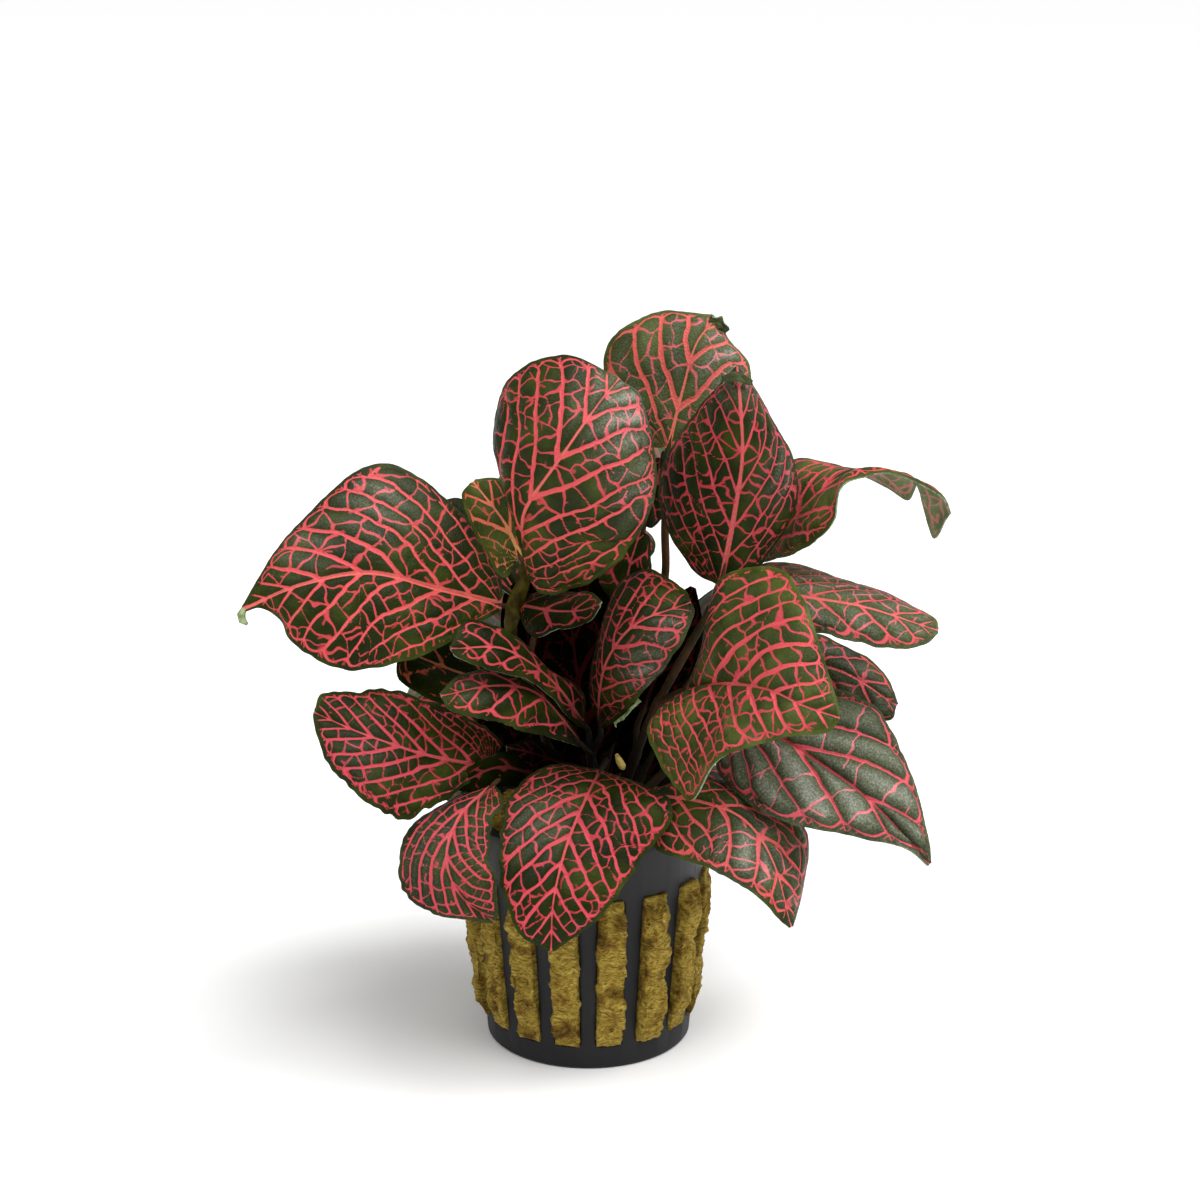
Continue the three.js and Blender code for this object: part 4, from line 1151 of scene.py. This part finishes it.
def wool():
    """The wool's block: a finer skin over the part's own shape, pulled into tufts where it is free."""
    deselect()
    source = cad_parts["mineral_wool"]
    obj = source.copy()
    obj.data = source.data.copy()
    bpy.context.collection.objects.link(obj)
    obj.select_set(True)
    bpy.context.view_layer.objects.active = obj
    bpy.ops.object.mode_set(mode="EDIT")
    bpy.ops.mesh.select_all(action="SELECT")
    bpy.ops.mesh.remove_doubles(threshold=0.01 * MM)
    bpy.ops.object.mode_set(mode="OBJECT")
    obj.data.remesh_voxel_size = WOOL_VOXEL * MM
    bpy.ops.object.voxel_remesh()
    mesh = obj.data
    points = vertex_values(mesh, "co").astype(float) / MM
    wall = wall_radius(points[:, 2])
    proud = ease(np.linalg.norm(points[:, :2], axis=1), wall - 0.3, wall + 1.2)
    free = np.maximum(proud, ease(points[:, 2], WOOL_TOP - 0.5, WOOL_TOP))
    tuft = 0.55 * swell(points, 5.0, 3) + 0.35 * swell(points * [1, 1, 2.2], 2.4, 4)
    tuft += 0.2 * swell(points, 1.3, 5)
    points += vertex_values(mesh, "normal") * (free * (tuft * 0.75 + 0.1))[:, None]
    mesh.vertices.foreach_set("co", (points * MM).astype(np.float32).ravel())
    mesh.update()
    bpy.ops.object.shade_smooth()
    keep(obj, "wool_block", ["mineral_wool"], [WOOL])


# ---- Materials ----


def hex_colour(code):
    """A linear colour from an sRGB hex value."""
    channels = [int(code[i : i + 2], 16) / 255 for i in (1, 3, 5)]
    return [c / 12.92 if c <= 0.04045 else ((c + 0.055) / 1.055) ** 2.4 for c in channels] + [1.0]


def per_mm(size):
    """The scale that gives a pattern this size in millimetres."""
    return 1 / (size * MM)


def add(tree, kind, links=(), sockets=None, stops=(), **settings):
    """Adds a shader node: links its inputs, sets its sockets, a colour ramp's stops and its properties.

    A link is (input, node, output) and a stop is (place, hex colour)."""
    node = tree.nodes.new("ShaderNode" + kind)
    for name, value in settings.items():
        setattr(node, name, value)
    for name, value in (sockets or {}).items():
        node.inputs[name].default_value = value
    for name, source, output in links:
        tree.links.new(source.outputs[output], node.inputs[name])
    for number, (place, code) in enumerate(stops):
        if number >= len(node.color_ramp.elements):
            node.color_ramp.elements.new(place)
        node.color_ramp.elements[number].position = place
        node.color_ramp.elements[number].color = hex_colour(code)
    return node


def material(name):
    """An empty material and its node tree."""
    made = bpy.data.materials.new(name)
    made.use_nodes = True
    made.node_tree.nodes.clear()
    return made, made.node_tree


def vein_mask(tree, place):
    """Adds nodes that give 1 in a vein and 0 outside, with a slightly uneven edge."""
    rough = add(tree, "TexNoise", [("Vector", place, "Object")], {"Scale": per_mm(0.8), "Detail": 3.0})
    depth = add(tree, "Attribute", attribute_name="vein")
    uneven = add(tree, "MapRange", [("Value", rough, "Fac")], {"To Min": -0.07, "To Max": 0.07})
    total = add(tree, "Math", [(0, depth, "Fac"), (1, uneven, "Result")], operation="ADD")
    return add(
        tree, "MapRange", [("Value", total, "Value")], {"From Min": -0.09, "From Max": 0.09},
        interpolation_type="SMOOTHSTEP",
    )


def paint_crown_shade(tree, colour, output):
    """Adds nodes that paint shade into a colour: darker where the piece is deep in the crown."""
    deep = add(tree, "Attribute", attribute_name="deep")
    dark = add(tree, "ValToRGB", [("Fac", deep, "Fac")], stops=[(0.0, "#FFFFFF"), (1.0, "#150F08")])
    return add(
        tree, "Mix", [(6, colour, output), (7, dark, "Color")], {0: 1.0},
        data_type="RGBA", blend_type="MULTIPLY",
    )


def lamina():
    """Living leaf, its waxy upper skin over domed cells: dark olive green, with a grain of domes that
    breaks up its shine, and coral-pink veins. A painted sheen makes it pale grey green to silvery in
    places, with painted glints on its grain and paler veins, and painted shade darkens it deep in the
    crown."""
    made, tree = material("leaf_upper_skin")
    place = add(tree, "TexCoord")
    broad = add(tree, "TexNoise", [("Vector", place, "Object")], {"Scale": per_mm(7), "Detail": 3.0})
    # The sunnier blades are a fresher green.
    fresh = add(tree, "Attribute", attribute_name="fresh")
    tone = add(tree, "Math", [(0, broad, "Fac"), (1, fresh, "Fac")], operation="ADD")
    green = add(
        tree, "ValToRGB", [("Fac", tone, "Value")],
        stops=[(0.3, "#151C03"), (0.5, "#202805"), (0.72, "#353F0E"), (0.95, "#505A22")],
    )
    # Painted sheen: the light attribute mixes in a pale grey green, and above 1 a silver.
    mottle = add(tree, "TexNoise", [("Vector", place, "Object")], {"Scale": per_mm(0.4), "Detail": 3.0})
    pale = add(
        tree, "ValToRGB", [("Fac", mottle, "Fac")],
        stops=[(0.3, "#454A35"), (0.5, "#5E6250"), (0.7, "#7C7F6E")],
    )
    light = add(tree, "Attribute", attribute_name="light")
    thin = add(tree, "Mix", [(0, light, "Fac"), (6, green, "Color"), (7, pale, "Color")], data_type="RGBA")
    painted_silver_sheen = add(
        tree, "ValToRGB", [("Fac", mottle, "Fac")],
        stops=[(0.3, "#7A7D6E"), (0.5, "#919488"), (0.7, "#ABADA3")],
    )
    strong_painted_sheen = add(tree, "MapRange", [("Value", light, "Fac")], {"From Min": 0.9, "From Max": 1.9})
    base = add(tree, "Mix", [(0, strong_painted_sheen, "Result"), (6, thin, 2), (7, painted_silver_sheen, "Color")], data_type="RGBA")
    # Domed cells, 0.4 mm: coarser than the real 0.05 mm ones, so that the grain shows.
    cells = add(tree, "TexVoronoi", [("Vector", place, "Object")], {"Scale": per_mm(0.42)})
    # Painted glints: light grey at the middle of each cell, more where the painted sheen is.
    painted_glint = add(
        tree, "ValToRGB", [("Fac", cells, "Distance")],
        stops=[(0.0, "#7E8A74"), (0.3, "#1E241A"), (0.6, "#000000")],
    )
    few = add(tree, "TexNoise", [("Vector", place, "Object")], {"Scale": per_mm(1.6), "Detail": 1.0})
    often = add(
        tree, "MapRange", [("Value", few, "Fac")],
        {"From Min": 0.4, "From Max": 0.65, "To Min": 0.03, "To Max": 0.25},
    )
    share = add(tree, "Math", [(0, often, "Result"), (1, light, "Fac")], operation="MULTIPLY")
    grained = add(
        tree, "Mix", [(0, share, "Value"), (6, base, 2), (7, painted_glint, "Color")],
        data_type="RGBA", blend_type="ADD",
    )
    rank = add(tree, "Attribute", attribute_name="rank")
    pink = add(
        tree, "ValToRGB", [("Fac", rank, "Fac")],
        stops=[(0.2, "#942E34"), (0.45, "#B83A46"), (0.75, "#CE4856"), (1.0, "#D2585E")],
    )
    salmon = add(
        tree, "ValToRGB", [("Fac", rank, "Fac")],
        stops=[(0.2, "#9C3E30"), (0.45, "#B54C3C"), (0.75, "#C85E48"), (1.0, "#CE7858")],
    )
    warm = add(tree, "Attribute", attribute_name="warm")
    blush = add(tree, "Mix", [(0, warm, "Fac"), (6, pink, "Color"), (7, salmon, "Color")], data_type="RGBA")
    # Straw yellow where a young blade's veins join, and pale pink under the painted sheen.
    yellowing = add(tree, "MapRange", [("Value", warm, "Fac")], {"From Min": 1.0, "From Max": 2.0})
    straw = add(tree, "ValToRGB", [("Fac", rank, "Fac")], stops=[(0.2, "#B06A3A"), (1.0, "#D9AC62")])
    joined = add(
        tree, "Mix", [(0, yellowing, "Result"), (6, blush, 2), (7, straw, "Color")], data_type="RGBA",
    )
    vein_sheen_share = add(tree, "MapRange", [("Value", light, "Fac")], {"To Max": 0.85})
    painted_vein_sheen = add(tree, "ValToRGB", [("Fac", cells, "Distance")], stops=[(0.0, "#E89C9E"), (0.5, "#D87A80")])
    vein = add(tree, "Mix", [(0, vein_sheen_share, "Result"), (6, joined, 2), (7, painted_vein_sheen, "Color")], data_type="RGBA")
    mask = vein_mask(tree, place)
    shown = add(tree, "Mix", [(0, mask, "Result"), (6, grained, 2), (7, vein, 2)], data_type="RGBA")
    shaded = paint_crown_shade(tree, shown, 2)
    raised = add(tree, "Bump", [("Height", cells, "Distance")], {"Strength": 0.8, "Distance": -0.12 * MM})
    # It loses its shine deep in the crown.
    # The painted shade deep in the crown takes its shine away too.
    deep = add(tree, "Attribute", attribute_name="deep")
    shine = add(
        tree, "MapRange", [("Value", deep, "Fac")], {"From Max": 0.8, "To Min": 0.11, "To Max": 0.0},
    )
    surface = add(
        tree, "BsdfPrincipled",
        [("Base Color", shaded, 2), ("Normal", raised, "Normal"), ("Specular IOR Level", shine, "Result")],
        {"Roughness": 0.36, "IOR": 1.42, "Sheen Weight": 0.01},
    )
    add(tree, "OutputMaterial", [("Surface", surface, "BSDF")])
    return made


def underside():
    """The blade's underside, with no wax: pale grey green, matt, with raised pinkish veins."""
    made, tree = material("leaf_underside")
    place = add(tree, "TexCoord")
    broad = add(tree, "TexNoise", [("Vector", place, "Object")], {"Scale": per_mm(4), "Detail": 3.0})
    green = add(tree, "ValToRGB", [("Fac", broad, "Fac")], stops=[(0.3, "#56643F"), (0.7, "#76825C")])
    vein = add(tree, "ValToRGB", [("Fac", broad, "Fac")], stops=[(0.3, "#A0685C"), (0.7, "#B98478")])
    mask = vein_mask(tree, place)
    shown = add(
        tree, "Mix", [(0, mask, "Result"), (6, green, "Color"), (7, vein, "Color")], data_type="RGBA",
    )
    shaded = paint_crown_shade(tree, shown, 2)
    raised = add(tree, "Bump", [("Height", mask, "Result")], {"Strength": 0.5, "Distance": 0.15 * MM})
    surface = add(
        tree, "BsdfPrincipled", [("Base Color", shaded, 2), ("Normal", raised, "Normal")],
        {"Roughness": 0.62, "IOR": 1.4, "Specular IOR Level": 0.3},
    )
    add(tree, "OutputMaterial", [("Surface", surface, "BSDF")])
    return made


def margin():
    """The thin edge of the blade, downy with short hairs: pale grey green and matt."""
    made, tree = material("leaf_edge")
    place = add(tree, "TexCoord")
    fine = add(tree, "TexNoise", [("Vector", place, "Object")], {"Scale": per_mm(0.8), "Detail": 2.0})
    green = add(tree, "ValToRGB", [("Fac", fine, "Fac")], stops=[(0.3, "#4E5C3C"), (0.7, "#97A286")])
    shaded = paint_crown_shade(tree, green, "Color")
    surface = add(tree, "BsdfPrincipled", [("Base Color", shaded, 2)], {"Roughness": 0.7, "IOR": 1.4})
    add(tree, "OutputMaterial", [("Surface", surface, "BSDF")])
    return made


def young_leaf():
    """Leaf still growing, and the curled tips of others, thin and soft: light yellow green."""
    made, tree = material("young_leaf")
    place = add(tree, "TexCoord")
    fine = add(tree, "TexNoise", [("Vector", place, "Object")], {"Scale": per_mm(1.2), "Detail": 3.0})
    green = add(tree, "ValToRGB", [("Fac", fine, "Fac")], stops=[(0.35, "#5A7238"), (0.65, "#9AA67C")])
    surface = add(tree, "BsdfPrincipled", [("Base Color", green, "Color")], {"Roughness": 0.5, "IOR": 1.4})
    add(tree, "OutputMaterial", [("Surface", surface, "BSDF")])
    return made


def bract_skin():
    """Bract at a shoot's top, leathery and bare: dark olive with a dull shine."""
    made, tree = material("bract_skin")
    place = add(tree, "TexCoord")
    fine = add(tree, "TexNoise", [("Vector", place, "Object")], {"Scale": per_mm(2), "Detail": 3.0})
    olive = add(tree, "ValToRGB", [("Fac", fine, "Fac")], stops=[(0.35, "#2A2006"), (0.65, "#4A4210")])
    shaded = paint_crown_shade(tree, olive, "Color")
    raised = add(tree, "Bump", [("Height", fine, "Fac")], {"Strength": 0.4, "Distance": 0.2 * MM})
    surface = add(
        tree, "BsdfPrincipled", [("Base Color", shaded, 2), ("Normal", raised, "Normal")],
        {"Roughness": 0.5, "IOR": 1.4, "Specular IOR Level": 0.1},
    )
    add(tree, "OutputMaterial", [("Surface", surface, "BSDF")])
    return made


def dried_scale():
    """Dried scale of a shoot, papery: straw coloured and matt."""
    made, tree = material("dried_scale")
    place = add(tree, "TexCoord")
    fine = add(tree, "TexNoise", [("Vector", place, "Object")], {"Scale": per_mm(1.5), "Detail": 3.0})
    straw = add(tree, "ValToRGB", [("Fac", fine, "Fac")], stops=[(0.35, "#4E4418"), (0.65, "#A8934A")])
    raised = add(tree, "Bump", [("Height", fine, "Fac")], {"Strength": 0.6, "Distance": 0.2 * MM})
    surface = add(
        tree, "BsdfPrincipled", [("Base Color", straw, "Color"), ("Normal", raised, "Normal")],
        {"Roughness": 0.8, "IOR": 1.4},
    )
    add(tree, "OutputMaterial", [("Surface", surface, "BSDF")])
    return made


def stem_skin():
    """Soft stem and petioles, olive brown flushed with red, with a short down that takes their shine."""
    made, tree = material("downy_stem")
    place = add(tree, "TexCoord")
    broad = add(tree, "TexNoise", [("Vector", place, "Object")], {"Scale": per_mm(6), "Detail": 3.0})
    brown = add(
        tree, "ValToRGB", [("Fac", broad, "Fac")],
        stops=[(0.3, "#2A2612"), (0.5, "#42301A"), (0.7, "#5A3A24")],
    )
    shaded = paint_crown_shade(tree, brown, "Color")
    fine = add(tree, "TexNoise", [("Vector", place, "Object")], {"Scale": per_mm(0.35), "Detail": 2.0})
    raised = add(tree, "Bump", [("Height", fine, "Fac")], {"Strength": 0.5, "Distance": 0.15 * MM})
    surface = add(
        tree, "BsdfPrincipled", [("Base Color", shaded, 2), ("Normal", raised, "Normal")],
        {"Roughness": 0.65, "IOR": 1.4, "Specular IOR Level": 0.15},
    )
    add(tree, "OutputMaterial", [("Surface", surface, "BSDF")])
    return made


def rock_wool():
    """Spun mineral wool, packed in by hand: matt ochre threads in tangles, with shade painted dark brown in
    clumps at random, as where they sink.
    """
    made, tree = material("mineral_wool")
    place = add(tree, "TexCoord")
    bend = add(tree, "TexNoise", [("Vector", place, "Object")], {"Scale": per_mm(4), "Detail": 2.0})
    warp = add(tree, "VectorMath", [(0, bend, "Color")], {"Scale": 3.5 * MM}, operation="SCALE")
    bent = add(tree, "VectorMath", [(0, place, "Object"), (1, warp, "Vector")], operation="ADD")
    # Threads drawn 0.25 mm thick: the real ones are far finer, and lie in such strands.
    long = add(tree, "Mapping", [("Vector", bent, "Vector")], {"Scale": (1.0, 1.0, 3.2)})
    threads = add(
        tree, "TexNoise", [("Vector", long, "Vector")],
        {"Scale": per_mm(1.1), "Detail": 6.0, "Roughness": 0.65},
    )
    ochre = add(
        tree, "ValToRGB", [("Fac", threads, "Fac")],
        stops=[(0.3, "#463410"), (0.43, "#7E6824"), (0.56, "#A98F3A"), (0.75, "#CDB668")],
    )
    # Painted shade: clumps at random are drawn dark brown, as if sunk between the tangles.
    clumps = add(tree, "TexNoise", [("Vector", place, "Object")], {"Scale": per_mm(4), "Detail": 4.0})
    painted_clump_shade = add(
        tree, "ValToRGB", [("Fac", clumps, "Fac")],
        stops=[(0.3, "#8E7C5C"), (0.42, "#D8CCB2"), (0.52, "#FFFFFF")],
    )
    shown = add(
        tree, "Mix", [(6, ochre, "Color"), (7, painted_clump_shade, "Color")], {0: 1.0},
        data_type="RGBA", blend_type="MULTIPLY",
    )
    raised = add(tree, "Bump", [("Height", threads, "Fac")], {"Strength": 1.0, "Distance": 0.6 * MM})
    surface = add(
        tree, "BsdfPrincipled", [("Base Color", shown, 2), ("Normal", raised, "Normal")],
        {"Roughness": 0.92, "IOR": 1.3},
    )
    add(tree, "OutputMaterial", [("Surface", surface, "BSDF")])
    return made


def plastic():
    """Polypropylene, injection moulded with a fine spark-eroded grain: matt dark grey."""
    made, tree = material("moulded_polypropylene")
    place = add(tree, "TexCoord")
    broad = add(tree, "TexNoise", [("Vector", place, "Object")], {"Scale": per_mm(9), "Detail": 3.0})
    grey = add(tree, "ValToRGB", [("Fac", broad, "Fac")], stops=[(0.3, "#121215"), (0.7, "#19191C")])
    rough = add(tree, "MapRange", [("Value", broad, "Fac")], {"To Min": 0.42, "To Max": 0.6})
    # Spark-eroded grain, 0.3 mm.
    grain = add(tree, "TexNoise", [("Vector", place, "Object")], {"Scale": per_mm(0.3), "Detail": 3.0})
    raised = add(tree, "Bump", [("Height", grain, "Fac")], {"Strength": 0.25, "Distance": 0.05 * MM})
    surface = add(
        tree, "BsdfPrincipled",
        [("Base Color", grey, "Color"), ("Roughness", rough, "Result"), ("Normal", raised, "Normal")],
        {"IOR": 1.49, "Specular IOR Level": 0.24},
    )
    add(tree, "OutputMaterial", [("Surface", surface, "BSDF")])
    return made


def paper():
    """White background paper: matt and even."""
    made, tree = material("background_paper")
    surface = add(tree, "BsdfPrincipled", sockets={"Base Color": hex_colour("#FFFFFF"), "Roughness": 0.9})
    add(tree, "OutputMaterial", [("Surface", surface, "BSDF")])
    return made


BLADE_SKINS = [lamina(), underside(), margin()]  # upper side, underside and edge
STEM, YOUNG, BRACT, SCALE = stem_skin(), young_leaf(), bract_skin(), dried_scale()
SMALL_SKINS = {"young_sliver": [YOUNG] * 3, "bract_left": [BRACT] * 3}
WOOL, PLASTIC = rock_wool(), plastic()

# ---- The plant ----

pot()
wool()
for shoot_name in SHOOTS:
    shoot(shoot_name)
for seed, (leaf_name, leaf) in enumerate(LEAVES.items(), 1):
    blade(leaf_name, leaf, seed, ["leaf_" + leaf_name], BLADE_SKINS)
# Their seeds start past those of the leaves.
for seed, (leaf_name, leaf) in enumerate(SMALL_BLADES.items(), 60):
    blade(leaf_name, leaf, seed, [], SMALL_SKINS.get(leaf_name, BLADE_SKINS))
keep(tube(HOOK, HOOK_RADII, HOOK_SIDES), "hook_left_large", [], [YOUNG])
keep(tube(DRY_SCALE, DRY_SCALE_RADII, HOOK_SIDES), "scale_centre", [], [SCALE])

# ---- The scene ----

deselect()
bpy.ops.mesh.primitive_plane_add(size=8)
floor = bpy.context.object
floor.name = "floor"
floor.data.materials.append(paper())

# The camera looks down by this much, from this place (m).
CAMERA_TILT = math.radians(17)
CAMERA_PLACE = (0.0024, -0.5422, 0.2588)
bpy.ops.object.camera_add(location=CAMERA_PLACE, rotation=(math.pi / 2 - CAMERA_TILT, 0, 0))
camera = bpy.context.object
camera.data.lens = 85
camera.data.sensor_width = 36
camera.data.clip_start = 0.01
bpy.context.scene.camera = camera

bpy.ops.object.light_add(type="SUN", rotation=(math.radians(20), math.radians(20), 0))
sun = bpy.context.object.data
sun.energy = 2.3
sun.angle = math.radians(50)
# Two softboxes face the plant: watts, place (m), and sizes across and along (m).
PLANT_MIDDLE = Vector((0, 0, 0.09))
SOFTBOXES = [
    (3, (-0.45, -0.55, 0.75), 0.7, 0.7),
    (6, (0.62, 0.02, 0.82), 0.4, 0.8),
]
for energy, place, across, along in SOFTBOXES:
    bpy.ops.object.light_add(type="AREA", location=place)
    box = bpy.context.object
    box.rotation_euler = (PLANT_MIDDLE - box.location).to_track_quat("-Z", "Y").to_euler()
    box.data.shape = "RECTANGLE"
    box.data.energy, box.data.size, box.data.size_y = energy, across, along

# The backdrop is white where the camera sees it, and lights the plant less than that.
world = bpy.context.scene.world or bpy.data.worlds.new("studio")
bpy.context.scene.world = world
world.use_nodes = True
studio = world.node_tree
studio.nodes.clear()
rays = add(studio, "LightPath")
felt = add(studio, "Background", sockets={"Color": hex_colour("#FFFFFF"), "Strength": 0.36})
seen = add(studio, "Background", sockets={"Color": hex_colour("#FFFFFF"), "Strength": 1.0})
sky = add(studio, "MixShader", [(0, rays, "Is Camera Ray"), (1, felt, 0), (2, seen, 0)])
add(studio, "OutputWorld", [("Surface", sky, 0)])

bpy.context.scene.view_settings.view_transform = "Standard"
bpy.context.scene.view_settings.look = "None"
